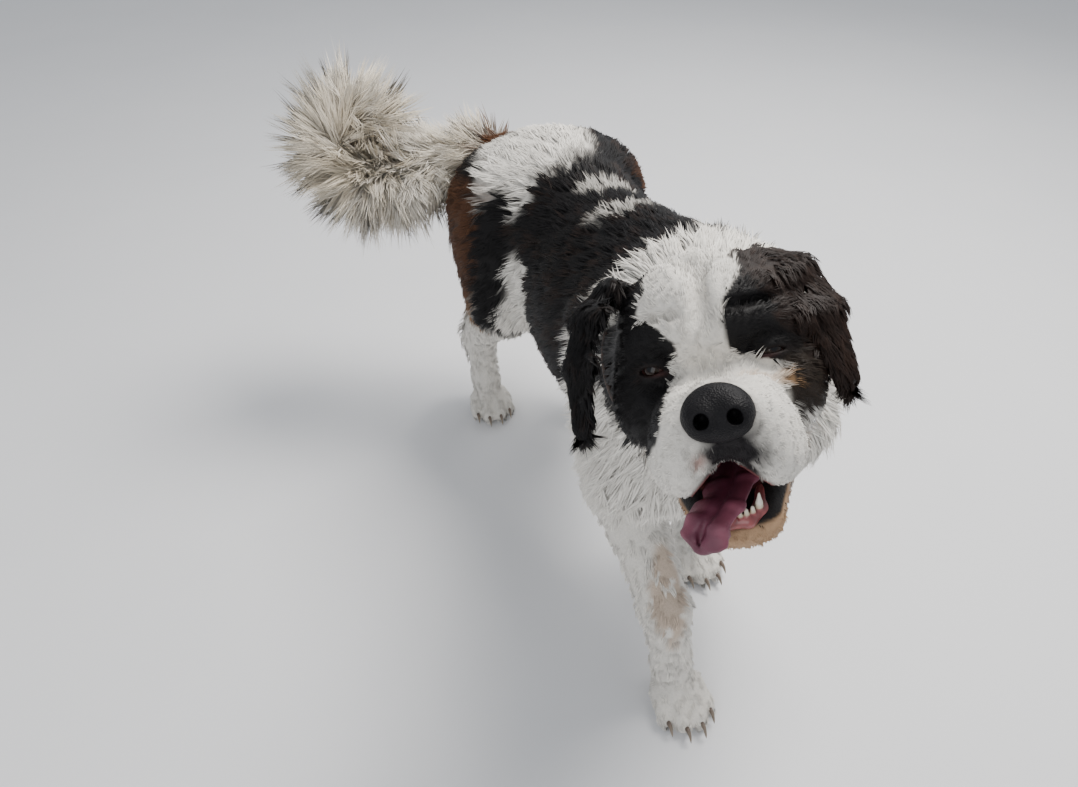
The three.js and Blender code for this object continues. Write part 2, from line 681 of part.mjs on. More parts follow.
const root = new THREE.Group();
const COLOURS = {
  white: 0xe9e2d6,
  black: 0x1b1817,
  cream: 0xd9c6a6,
  nose: 0x17161a,
  tongue: 0xa1505c,
  eye: 0x2a160c,
  strap: 0x241a16,
  metal: 0xa7a9ac,
};
function show(name, made, colour, roughness = 0.85, metalness = 0) {
  const mesh = made.getMesh();
  const geometry = new THREE.BufferGeometry();
  const points = new Float32Array(mesh.numVert * 3);
  for (let i = 0; i < mesh.numVert; i++)
    points.set(mesh.vertProperties.subarray(i * mesh.numProp, i * mesh.numProp + 3), i * 3);
  geometry.setAttribute("position", new THREE.BufferAttribute(points, 3));
  geometry.setIndex(new THREE.BufferAttribute(mesh.triVerts, 1));
  const material = new THREE.MeshStandardMaterial({ color: COLOURS[colour], roughness, metalness });
  const shown = new THREE.Mesh(geometry, material);
  shown.name = name;
  shown.position.set(...mul(ORIGIN, -1));
  root.add(shown);
}

// The plume: locks stand out of the tail's bones, away from the middle of its curl
function tailLocks() {
  const draw = draws(11);
  const made = [];
  const count = 45;
  for (let i = 0; i < count; i++) {
    const t = 1.15 + ((TAIL.length - 2.2) * i) / (count - 1);
    const k = Math.floor(t);
    const p = along(TAIL[k], TAIL[Math.min(k + 1, TAIL.length - 1)], t - k);
    const bone = unit(sub(TAIL[Math.min(k + 1, TAIL.length - 1)], TAIL[k]));
    const off = sub(p, PLUME);
    const away = unit(sub(off, mul(bone, dot(off, bone))));
    const beside = cross(bone, away);
    const turn = t < 2.6 ? draw(-140, 140) * DEG : ((i % 3) - 1 + draw(-0.25, 0.25)) * 52 * DEG;
    const way = unit(add(add(mul(away, Math.cos(turn)), mul(beside, Math.sin(turn))), mul(bone, draw(0.05, 0.4))));
    const length = (t < 2.2 ? 105 : 150) * draw(0.9, 1.12);
    const droop = mul([0, 0, -1], length * draw(0.04, 0.12));
    const line = [0.06, 0.4, 0.72, 1].map((s) => add(add(p, mul(way, length * s)), mul(droop, s * s)));
    made.push(lock(line, bone, draw(52, 68), draw(18, 24)));
  }
  return made;
}

// The ruff, the fringe of the breast, the feathers of the elbows and the breeches, as locks on the body
function bodyLocks() {
  const draw = draws(5);
  const made = [];
  const neckAxis = unit(sub(NECK_TOP, NECK_BASE));
  const neckX = unit(cross(neckAxis, [0, 0, 1]));
  const neckY = cross(neckX, neckAxis);
  const rows = [0.84, 0.5, 0.16];
  rows.forEach((t, row) => {
    const count = 10 + row;
    for (let i = 0; i < count; i++) {
      const angle = ((i + (row % 2) / 2 + draw(-0.15, 0.15)) / count) * 2 * Math.PI;
      const way = add(mul(neckX, Math.cos(angle)), mul(neckY, Math.sin(angle)));
      const root = outOf(bodyField, along(NECK_BASE, NECK_TOP, t), way);
      const lie = add(mul(neckAxis, -1), [0, 0, -0.55]);
      const size = { length: draw(118, 150), width: draw(44, 56), thick: draw(13, 17), lift: 0.13, sink: 7 };
      made.push(lyingLock(root, lie, size));
    }
  });
  for (let i = 0; i < 9; i++) {
    const way = [draw(-0.75, 0.75), -1, draw(-0.5, 0.25)];
    const root = outOf(bodyField, [0, -270, 500], way);
    made.push(lyingLock(root, [0, 0.25, -1], { length: draw(110, 140), width: draw(40, 52), thick: 14, lift: 0.13, sink: 7 }));
  }
  for (const side of [-1, 1]) {
    for (let i = 0; i < 13; i++) {
      const from = [92 * side, 386, 440 + 13 * i];
      const root = outOf(bodyField, from, [side * draw(-0.35, 1.1), 1, 0]);
      const size = { length: draw(110, 140), width: draw(38, 50), thick: draw(13, 16), lift: 0.2, sink: 8 };
      made.push(lyingLock(root, [0.1 * side, 0.3, -1], size));
    }
    const leg = side < 0 ? LEGS.fore_right : LEGS.fore_left;
    for (let i = 0; i < 5; i++) {
      const from = along(leg.joints[2], leg.joints[3], i / 5);
      const root = outOf(bodyField, from, [side * draw(-0.5, 0.7), 1, 0]);
      made.push(lyingLock(root, [0, 0.45, -1], { length: draw(64, 84), width: draw(28, 36), thick: 11, lift: 0.26, sink: 7 }));
    }
    const hind = side < 0 ? LEGS.hind_right : LEGS.hind_left;
    for (let i = 0; i < 4; i++) {
      const from = along(hind.joints[1], hind.joints[2], 0.2 + i / 6);
      const root = outOf(bodyField, from, [side * draw(-0.5, 0.6), 1, 0.3]);
      made.push(lyingLock(root, [0, 0.3, -1], { length: draw(64, 84), width: draw(30, 38), thick: 11, lift: 0.24, sink: 7 }));
    }
    for (let i = 0; i < 5; i++) {
      const root = outOf(bodyField, [70 * side, -180 + 75 * i, 470], [side * draw(-0.3, 0.5), 0, -1]);
      made.push(lyingLock(root, [0, 1, -0.2], { length: draw(62, 84), width: draw(36, 50), thick: 14, lift: 0.16, sink: 8 }));
    }
  }
  return made;
}

// The fringe of an ear: short locks off its rear edge and its tip
function earLocks({ line, across }, seed) {
  const draw = draws(seed);
  const back = unit(across);
  const made = [];
  for (let i = 0; i < 4; i++) {
    const t = 1.5 + (2.3 * i) / 3;
    const k = Math.floor(t);
    const edge = add(along(line[k], line[Math.min(k + 1, 4)], t - k), mul(back, i < 3 ? 24 : 4));
    const way = unit(add(mul(back, draw(0.35, 0.6)), [0, 0, -1]));
    const length = draw(34, 46);
    const points = [0, 0.35, 0.7, 1].map((s) => fromHead(add(edge, mul(way, length * s))));
    made.push(lock(points, headDirection(back), draw(26, 32), 9));
  }
  return made;
}

// An upright box between two corners
function box(low, high) {
  const size = sub(high, low);
  const matrix = new THREE.Matrix4().setPosition(...along(low, high, 0.5));
  return fromGeometry(new THREE.BoxGeometry(...size), matrix);
}
// Parts a solid by a box: what lies in it, and what is left a gap short of it
function boxedPart(whole, low, high) {
  const inside = largest(whole.intersect(box(low, high)));
  const rest = largest(whole.subtract(box(sub(low, [GAP, GAP, GAP]), add(high, [GAP, GAP, GAP]))));
  return [inside, rest];
}

// The head, from the plane behind the skull forward
const SKULL_BACK = fromHead([0, 112, 0]);
const SKULL_WAY = unit(add(headDirection([0, -1, 0.15]), mul(unit(sub(NECK_TOP, NECK_BASE)), 0.8)));
const headSkin = solid(skin(dogField, [-420, -800, 600], [60, -380, 1020], 5, HEAD_TRIANGLES));
let head = part(headSkin, SKULL_BACK, SKULL_WAY)[0];

// The lower jaw, below a plane through the corners of the mouth
const jawUp = sub(fromHead(fromJaw([0, 0, 1])), fromHead(fromJaw([0, 0, 0])));
const jawFront = fromHead(fromJaw([0, -66, -64]));
const jawTurn = sub(fromHead(fromJaw([1, 0, 0])), fromHead(fromJaw([0, 0, 0])));
const jawBlock = (grow) =>
  beyond(add(jawFront, mul(jawUp, grow)), mul(jawUp, -1), [150 + 2 * grow, 150 + 2 * grow], 90, jawTurn);
let jaw = largest(head.intersect(jawBlock(0)));
head = largest(head.subtract(jawBlock(GAP)));

// Pieces bedded in the head: each leaves its own hollow, a gap wider
const noseSkin = placed(skin(noseLocal, [-42, -160, -52], [42, -104, 16], 3, 240), fromHead);
const earSkins = ["right", "left"].map((side) => {
  const [inner, outer] = side === "right" ? [-180, -30] : [30, 180];
  return placed(skin(earField(EARS[side]), [inner, -30, -75], [outer, 130, 130], 5, EAR_TRIANGLES), fromHead);
});
const toSkull = (p) => fromHead(fromJaw(p));
const tongueSkin = placed(skin(tongueLocal, [-95, -160, -160], [45, 30, -30], 4, 150), toSkull);
const gumSkin = placed(skin(gumLocal, [-40, -115, -90], [40, -45, -55], 3, 90), toSkull);
const ball = new THREE.IcosahedronGeometry(1, 1);
const eyeBall = (side, r) => {
  const matrix = new THREE.Matrix4().makeScale(r, r, r).setPosition(...fromHead(mirrored(EYE.at, side)));
  return fromGeometry(ball, matrix);
};
for (const data of [noseSkin, ...earSkins, tongueSkin]) head = head.subtract(bed(data));
for (const side of [-1, 1]) head = head.subtract(eyeBall(side, EYE.radius + GAP));
head = largest(head);

let teeth = solid(gumSkin);
for (const x of INCISORS) {
  const y = -103 + x * x * 0.02;
  teeth = teeth.add(spike(toSkull([x, y, -70]), toSkull([x, y - 1, -59]), 3.4, 5));
}
for (const x of CANINES) teeth = teeth.add(spike(toSkull([x, -92, -70]), toSkull([x * 1.12, -95, -50]), 4.6, 6));
const tongue = largest(solid(tongueSkin).subtract(bed(gumSkin)));
teeth = largest(teeth.subtract(bed(tongueSkin)));
jaw = jaw.subtract(bed(gumSkin)).subtract(bed(tongueSkin));
jaw = largest(jaw.subtract(bed(earSkins[0])));

show("head", head, "white");
show("lower_jaw", jaw, "cream");
show("nose", solid(noseSkin), "nose", 0.45);
show("tongue", tongue, "tongue", 0.35);
show("teeth_lower", teeth, "white", 0.3);
show("eye_right", eyeBall(-1, EYE.radius), "eye", 0.1);
show("eye_left", eyeBall(1, EYE.radius), "eye", 0.1);
["right", "left"].forEach((side, i) => {
  const ear = withLocks(solid(earSkins[i]), earLocks(EARS[side], 21 + i));
  show("ear_" + side, ear, "black");
});

// The neck and trunk
let body = solid(skin(dogField, [-260, -640, -20], [260, 500, 960], 12, BODY_TRIANGLES));
body = withLocks(body, bodyLocks());
body = part(body, SKULL_BACK, SKULL_WAY)[1];
const neckWay = unit(sub(NECK_TOP, NECK_BASE));
const parted = part(body, along(NECK_BASE, NECK_TOP, 0.3), neckWay);
let neck = parted[0];
body = parted[1];

// The collar: a band round the neck, half sunk in the coat
const COLLAR = { at: along(NECK_BASE, NECK_TOP, 0.74), way: unit(add(neckWay, [0, 0, 0.1])), half: 13, sink: 5, proud: 3 };
const collarX = unit(cross(COLLAR.way, [0, 0, 1]));
const collarY = cross(COLLAR.way, collarX);
const COLLAR_STEPS = 28;
const neckAndTrunk = (x, y, z) => join(trunkField(x, y, z), neckField(x, y, z), 60);
function collarPoint(angle, offset, axial) {
  const out = add(mul(collarX, Math.cos(angle)), mul(collarY, Math.sin(angle)));
  const { at } = outOf(neckAndTrunk, COLLAR.at, out);
  return add(add(at, mul(out, offset)), mul(COLLAR.way, axial));
}
function collarBand(grow) {
  const positions = [];
  const faces = [];
  for (let i = 0; i < COLLAR_STEPS; i++) {
    const angle = (i / COLLAR_STEPS) * 2 * Math.PI;
    const [inner, outer, half] = [-COLLAR.sink - grow, COLLAR.proud + grow, COLLAR.half + grow];
    positions.push(
      collarPoint(angle, inner, -half),
      collarPoint(angle, outer, -half),
      collarPoint(angle, outer, half),
      collarPoint(angle, inner, half),
    );
    const [a, b] = [i * 4, ((i + 1) % COLLAR_STEPS) * 4];
    for (let q = 0; q < 4; q++) {
      const r = (q + 1) % 4;
      faces.push([a + q, b + r, b + q], [a + q, a + r, b + r]);
    }
  }
  const made = solid({ positions, faces });
  return made.volume() < 0 ? solid({ positions, faces: faces.map(([a, b, c]) => [a, c, b]) }) : made;
}
neck = largest(neck.subtract(collarBand(0.4)));
const collar = collarBand(0);
show("collar", collar, "strap", 0.7);

// A steel ring lies against the collar at the front of the dog's right
const RING = { angle: 2.6, radius: 16, wire: 2.4, proud: 9 };
const ringOut = add(mul(collarX, Math.cos(RING.angle)), mul(collarY, Math.sin(RING.angle)));
const ringAxes = [COLLAR.way, cross(ringOut, COLLAR.way), ringOut].map((a) => new THREE.Vector3(...a));
const ringMatrix = new THREE.Matrix4().makeBasis(...ringAxes);
ringMatrix.setPosition(...collarPoint(RING.angle, RING.proud, -6));
const ring = fromGeometry(new THREE.TorusGeometry(RING.radius, RING.wire, 5, 14), ringMatrix);
neck = largest(neck.subtract(ring));
show("collar_ring", ring, "metal", 0.3, 1);

// The legs and paws
const FOOT_TOP = 62;
const FLOOR = box([-FAR, -FAR, -200], [FAR, FAR, 0]);
for (const [name, leg] of Object.entries(LEGS)) {
  const side = leg.joints[1][0] < 0 ? -1 : 1;
  const fore = name.startsWith("fore");
  const ys = leg.joints.slice(1).map((p) => p[1]);
  const [back, front] = [Math.max(...ys) + 90, Math.min(...ys) - 90];
  const xs = [46 * side, 300 * side].sort((a, b) => a - b);
  const [limbSolid, rest] = boxedPart(body, [xs[0], front, -100], [xs[1], back, fore ? 395 : 430]);
  body = rest;
  const shank = largest(limbSolid.subtract(box([-FAR, -FAR, -200], [FAR, FAR, FOOT_TOP])));
  const [px, py] = leg.paw;
  const pawSkin = solid(skin(dogField, [px - 75, py - 90, -30], [px + 75, py + 90, 110], 5, PAW_TRIANGLES));
  let paw = pawSkin.subtract(box([-FAR, -FAR, FOOT_TOP - GAP], [FAR, FAR, 400]));
  for (const toe of PAW.toes) {
    const base = pawPlace(leg, add(toe.to, [0, 0, 6]));
    const tip = pawPlace(leg, add(toe.to, [0, -toe.r - 12, -8]));
    paw = paw.add(spike(base, tip, 5.5, 6));
  }
  show(name.replace("_", "_leg_"), shank, "white");
  show(name.replace("_", "_paw_"), largest(paw.subtract(FLOOR)), "white");
}

const [rear, chest] = part(body, [0, 110, 0], [0, 1, 0]);

// The tail curls once round the middle of its plume
const TAIL_RADII = [50, 44, 46, 56, 64, 64, 58, 40];
const tailBones = chain(TAIL, TAIL_RADII, 20);
const tailField = (x, y, z) => join(bodyField(x, y, z), tailBones(x, y, z), 24);
const tailSkin = solid(skin(tailField, [-480, 380, 500], [120, 700, 800], 11, TAIL_TRIANGLES));
const TAIL_WAY = unit(sub(TAIL[1], TAIL[0]));
const TAIL_START = along(TAIL[0], TAIL[1], 0.55);
const tail = withLocks(part(tailSkin, TAIL_START, TAIL_WAY)[0], tailLocks());
const [curl, tailRoot] = part(tail, TAIL[2], [-1, 0.1, 0]);
const hips = largest(rear.subtract(beyond(sub(TAIL_START, mul(TAIL_WAY, GAP)), TAIL_WAY)));
show("neck", neck, "white");
show("chest", chest, "black");
show("hindquarters", hips, "black");
show("tail_root", tailRoot, "cream");
show("tail_plume", curl, "cream");

export default root;
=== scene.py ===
"""A saint bernard walking, its head turned up to its right, its mouth open and its tail swept out.
The shape comes from the same named sizes as the solids, in millimetres. Forward is -Y, the dog's left +X."""
import math
import bpy
import numpy as np
from mathutils import Matrix, Vector


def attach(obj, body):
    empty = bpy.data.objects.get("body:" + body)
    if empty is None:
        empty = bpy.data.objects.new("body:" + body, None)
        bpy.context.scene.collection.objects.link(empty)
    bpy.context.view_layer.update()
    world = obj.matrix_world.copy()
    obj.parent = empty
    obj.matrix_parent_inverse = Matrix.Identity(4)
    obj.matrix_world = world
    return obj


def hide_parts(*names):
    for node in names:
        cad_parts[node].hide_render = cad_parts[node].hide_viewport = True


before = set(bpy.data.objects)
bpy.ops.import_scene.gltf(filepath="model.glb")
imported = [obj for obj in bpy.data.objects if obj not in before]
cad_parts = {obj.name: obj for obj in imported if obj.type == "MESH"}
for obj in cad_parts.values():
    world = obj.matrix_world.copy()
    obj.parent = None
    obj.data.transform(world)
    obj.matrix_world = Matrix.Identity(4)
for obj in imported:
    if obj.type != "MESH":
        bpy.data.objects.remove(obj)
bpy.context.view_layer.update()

ORIGIN = np.array([-147.0, 23.0, 0.0])
rng = np.random.default_rng(7)


# Vectors: the last axis holds x, y and z
def vec(*a):
    return np.array(a, float)


def unit(a):
    a = np.asarray(a, float)
    return a / np.maximum(np.linalg.norm(a, axis=-1, keepdims=True), 1e-9)


def xyz(p):
    return p[..., 0], p[..., 1], p[..., 2]


def along(a, b, t):
    return np.asarray(a, float) + (np.asarray(b, float) - np.asarray(a, float)) * t


def step(low, high, x):
    t = np.clip((x - low) / (high - low), 0, 1)
    return t * t * (3 - 2 * t)


def blend(a, b, t):
    return a * (1 - t) + b * t


def mix(a, b, t):
    """blend for vectors, with one t for each"""
    return blend(a, b, np.asarray(t)[..., None])


# Fields: negative inside, in millimetres
def join(a, b, k):
    h = np.maximum(k - np.abs(a - b), 0) / k
    return np.minimum(a, b) - h * h * k * 0.25


def carve(a, b, k):
    return -join(-a, b, k)


def egg(p, c, r, axes=None):
    d = p - vec(*c)
    if axes is not None:
        d = d @ np.asarray(axes, float).T
    r = vec(*r)
    k0 = np.linalg.norm(d / r, axis=-1)
    k1 = np.linalg.norm(d / r / r, axis=-1)
    return k0 * (k0 - 1) / np.maximum(k1, 1e-6)


def limb(p, a, b, ra, rb):
    a, b = vec(*a), vec(*b)
    d = b - a
    t = np.clip(((p - a) @ d) / (d @ d), 0, 1)
    return np.linalg.norm(p - a - t[..., None] * d, axis=-1) - ra - (rb - ra) * t


def strap(p, a, b, wa, wb, h, across):
    a, b = vec(*a), vec(*b)
    d = b - a
    e = unit(d)
    side = unit(vec(*across) - e * (vec(*across) @ e))
    t = np.clip(((p - a) @ d) / (d @ d), 0, 1)
    w = wa + (wb - wa) * t
    q = p - a - t[..., None] * d
    v = q @ side
    rest = q - v[..., None] * side
    return np.hypot(np.linalg.norm(rest, axis=-1), v * h / w) - h


def blended(values, k):
    d = values[0]
    for v in values[1:]:
        d = join(d, v, k)
    return d


def chain(p, points, radii, k):
    return blended([limb(p, points[i], points[i + 1], radii[i], radii[i + 1])
                    for i in range(len(points) - 1)], k)


# Trunk, neck, legs and tail
NECK_BASE, NECK_MID, NECK_TOP = (0, -235, 618), (-58, -352, 694), (-118, -452, 768)
LEGS = {
    "fore_right": dict(joints=[(-100, -215, 620), (-112, -330, 520), (-116, -275, 400),
                               (-84, -398, 205), (-74, -425, 75)],
                       radii=[88, 84, 62, 43, 38], paw=(-70, -452, 0), heading=-4),
    "fore_left": dict(joints=[(100, -215, 620), (112, -320, 520), (118, -205, 400),
                              (108, -180, 200), (104, -172, 75)],
                      radii=[88, 84, 62, 43, 38], paw=(104, -196, 0), heading=6),
    "hind_right": dict(joints=[(-90, 320, 585), (-122, 245, 425), (-124, 452, 200), (-118, 436, 70)],
                       radii=[112, 72, 40, 36], paw=(-118, 412, 0), heading=-8),
    "hind_left": dict(joints=[(88, 320, 585), (122, 165, 425), (112, 325, 202), (108, 268, 68)],
                      radii=[112, 72, 40, 36], paw=(108, 236, 0), heading=8),
}
TOES = [((-34, 8, 34), (-39, -34, 19), 18), ((-12, -4, 40), (-14, -52, 20), 19.5),
        ((12, -4, 40), (14, -52, 20), 19.5), ((34, 8, 34), (39, -34, 19), 18)]
SOLE = -2
TAIL = [(-5, 400, 655), (-80, 492, 625), (-155, 535, 606), (-240, 545, 588),
        (-325, 530, 598), (-372, 570, 655), (-330, 612, 706), (-270, 575, 690)]
PLUME = vec(-318, 560, 655)


def trunk(p):
    return blended([egg(p, (0, -62, 545), (160, 262, 196)), egg(p, (0, -262, 540), (150, 130, 165)),
                    egg(p, (0, -185, 650), (112, 150, 104)), egg(p, (0, 110, 502), (130, 220, 126)),
                    egg(p, (0, 205, 594), (138, 200, 136)), egg(p, (0, 325, 612), (148, 118, 118))], 60)


def neck(p):
    return blended([limb(p, NECK_BASE, NECK_MID, 158, 138), limb(p, NECK_MID, NECK_TOP, 138, 112),
                    limb(p, (-20, -350, 560), (-118, -478, 700), 98, 84)], 40)


def turn_z(degrees):
    c, s = math.cos(math.radians(degrees)), math.sin(math.radians(degrees))
    return np.array([[c, -s, 0], [s, c, 0], [0, 0, 1.0]])


def paw_place(leg, q):
    return turn_z(leg["heading"]) @ vec(*q) + vec(*leg["paw"]) + vec(0, 0, SOLE)


def paw_field(p, leg):
    parts = [egg(p, paw_place(leg, (0, 14, 34)), (43, 44, 36), turn_z(leg["heading"]).T)]
    for a, b, r in TOES:
        parts.append(limb(p, paw_place(leg, a), paw_place(leg, b), r, r - 1))
    return blended(parts, 7)


def torso(p):
    return join(trunk(p), neck(p), 60)


def body(p):
    d = torso(p)
    for s in (-1, 1):
        d = join(d, egg(p, (90 * s, 390, 540), (86, 96, 138)), 40)
        d = join(d, egg(p, (114 * s, 312, 512), (84, 128, 154)), 40)
    for leg in LEGS.values():
        d = join(d, chain(p, leg["joints"], leg["radii"], 30), 46)
    for leg in LEGS.values():
        d = join(d, paw_field(p, leg), 12)
    return d


def tail_bones(p):
    return chain(p, TAIL, [44, 30, 26, 24, 22, 20, 17, 12], 18)


# The head's own frame: x to its left, y backward, z up, from the point midway between the eyes
HEAD_AT = vec(-190, -555, 860)


def rot(axis, degrees):
    return np.array(Matrix.Rotation(math.radians(degrees), 3, axis))


HEAD_TURN = rot("Z", -36) @ rot("X", -32) @ rot("Y", -18.5)


def from_head(q):
    return np.asarray(q, float) @ HEAD_TURN.T + HEAD_AT


def to_head(p):
    return (np.asarray(p, float) - HEAD_AT) @ HEAD_TURN


HINGE = vec(0, 42, -60)
JAW_TURN = rot("X", 23)


def from_jaw(q):
    return (np.asarray(q, float) - HINGE) @ JAW_TURN.T + HINGE


def to_jaw(q):
    return (np.asarray(q, float) - HINGE) @ JAW_TURN + HINGE


EYE = (52, -4, 6)
EYE_R = 13.5
LID = 3.2
SKULL, THROAT = ((0, 74, 28), (96, 100, 86)), ((0, 66, -62), (66, 70, 46))
SLITS = {-1: (13, 3.9), 1: (13, 2.0)}
EARS = {
    -1: dict(line=[(-64, 64, 62), (-92, 60, 90), (-122, 50, 66), (-134, 38, 18), (-138, 28, -44)],
             widths=[30, 42, 47, 41, 19], across=(-0.55, 1, 0), cup=(-108, 44, 20)),
    1: dict(line=[(46, 66, 62), (66, 62, 92), (94, 52, 78), (112, 40, 32), (119, 28, -38)],
            widths=[30, 42, 48, 42, 19], across=(0.7, 1, 0), cup=(84, 44, 28)),
}
TONGUE = [(4, -10, -66), (0, -62, -62), (-12, -96, -60), (-24, -112, -64), (-31, -117, -75), (-33, -119, -82)]
TONGUE_W = [22, 23, 23, 21, 16, 8]
TONGUE_ACROSS = (1, -0.25, 0.35)
GUM = [(-24, -62, -72), (-20, -88, -73), (-9, -101, -73), (9, -101, -73), (20, -88, -73), (24, -62, -72)]


MOUTH_AXES = [(1, 0, 0), (0, math.cos(math.radians(12)), math.sin(math.radians(12))),
              (0, -math.sin(math.radians(12)), math.cos(math.radians(12)))]


def mouth_gap(q):
    return egg(q, (0, -52, -86), (35, 82, 20), MOUTH_AXES)


def mouth_mask(q):
    """1 inside the open mouth"""
    return step(6.0, 3.5, mouth_gap(q))


def eye_at(side):
    return vec(EYE[0] * side, EYE[1], EYE[2])


def ear_field(q, side, thin=0.0):
    e = EARS[side]
    line, widths = e["line"], e["widths"]
    leaf = blended([strap(q, line[i], line[i + 1], widths[i], widths[i + 1], 9, e["across"])
                    for i in range(4)], 12)
    return carve(leaf + thin, egg(q, e["cup"], (18, 30, 44)), 5)


def lid_gap(q, side):
    half, rise = SLITS[side]
    r = (half * half + rise * rise) / (2 * rise)
    out = unit(vec(0.42 * side, -1, 0.05))
    across = unit(np.cross(out, (0, 0, 1)))
    up = np.cross(across, out)
    d = q - eye_at(side)
    v, w, depth = d @ across, d @ up + 1.5, d @ out
    almond = np.maximum(np.hypot(v, w - (r - rise)), np.hypot(v, w + (r - rise))) - r
    return np.maximum(almond, -depth)


def eye_rim(q, side):
    return np.maximum(lid_gap(q, side), egg(q, eye_at(side), (20, 20, 20)))


def head(q, thin=0.0, ears=True):
    d = blended([egg(q, *SKULL), egg(q, (0, 22, 44), (74, 62, 58))]
                + [egg(q, (64 * s, 50, -28), (42, 66, 58)) for s in (-1, 1)]
                + [limb(q, (26 * s, 0, -38), (25 * s, -98, -42), 35, 33) for s in (-1, 1)]
                + [egg(q, *THROAT)], 26)
    for s in (-1, 1):
        d = join(d, limb(q, (22 * s, -18, 32), (62 * s, 2, 26), 17, 15), 20)
    for s in (-1, 1):
        d = join(d, egg(q, (37 * s, -74, -66), (31, 54, 37)), 14)
    d = join(d, egg(q, (0, -112, -25), (29, 24, 27)), 12)
    for s in (-1, 1):
        d = carve(d, egg(q, (56 * s, -26, 6), (20, 14, 13)), 16)
    # The brow's furrow, the folds that fork from it, and a crease under each eye
    d = carve(d, limb(q, (0, -44, 40), (-2, -6, 92), 3.0, 4.5), 16)
    for s in (-1, 1):
        d = carve(d, limb(q, (-2, -8, 92), (30 * s, 26, 112), 3.6, 2.6), 14)
        d = carve(d, limb(q, (30 * s, -44, -8), (66 * s, -30, -14), 1.6, 1.6), 9)
        d = carve(d, limb(q, (24 * s, -34, 52), (58 * s, -10, 52), 1.4, 1.4), 9)
    j = to_jaw(q)
    jaw = blended([limb(j, (48 * s, 36, -78), (22 * s, -82, -86), 26, 19) for s in (-1, 1)]
                  + [egg(j, (0, -84, -88), (36, 27, 21))]
                  + [limb(j, (48 * s, 10, -76), (27 * s, -84, -83), 11, 9) for s in (-1, 1)], 12)
    d = join(d, jaw, 9) + thin
    lids = [egg(q, eye_at(s), (EYE_R + LID,) * 3) for s in (-1, 1)]
    for lid in lids:
        d = join(d, lid, 8)
    d = carve(d, mouth_gap(q), 8)
    # The groove under the nose and the notch between the upper lips
    d = carve(d, limb(q, (0, -132, -52), (0, -112, -104), 1.2, 3.0), 8)
    for s, lid in zip((-1, 1), lids):
        d = carve(d, np.maximum(lid_gap(q, s), lid - 6), 2)
    d = carve(d, nose_block(q) + 0.8, 1.5)
    if ears:
        for s in (-1, 1):
            d = join(d, ear_field(q, s, thin * 0.6), 9)
    return d


def nose_block(q):
    return join(egg(q, (0, -130, -26), (28, 19, 24)),
                join(egg(q, (12, -137, -28), (16, 16, 17)), egg(q, (-12, -137, -28), (16, 16, 17)), 6), 6)


def nose(q):
    d = nose_block(q)
    for s in (-1, 1):
        d = carve(d, egg(q, (12.5 * s, -145, -28), (6, 14, 6.5)), 3)
        d = carve(d, limb(q, (15 * s, -147, -31), (25 * s, -135, -35), 3.2, 2.4), 3)
    return carve(d, limb(q, (0, -153, -30), (0, -143, -60), 1.3, 1.7), 1.5)


def tongue(j):
    d = blended([strap(j, TONGUE[i], TONGUE[i + 1], TONGUE_W[i], TONGUE_W[i + 1], 5.5, TONGUE_ACROSS)
                 for i in range(len(TONGUE) - 1)], 8)
    groove = chain(j + vec(0, 0, -6.5), TONGUE, [2, 2, 2, 2, 2, 2], 3)
    return carve(d, groove, 7)


# The coat's depth: how far the skin lies inside the coat's outer surface
def long_haired(p):
    """1 on the ruff and on the breeches, each by itself"""
    x, y, z = xyz(p)
    ruff = step(-215, -300, y) * step(430, 520, z)
    rump = step(330, 420, y) * step(640, 560, z) * step(330, 400, z)
    return ruff, rump


def coat_depth(p):
    ruff, rump = long_haired(p)
    legs = step(430, 330, p[..., 2])
    feet = step(130, 70, p[..., 2])
    return 9 + 7 * np.maximum(ruff, rump) - 3 * legs - 3.5 * feet


def skin_body(p):
    d = body(p) + coat_depth(p)
    return join(d, tail_bones(p) + 4, 24)


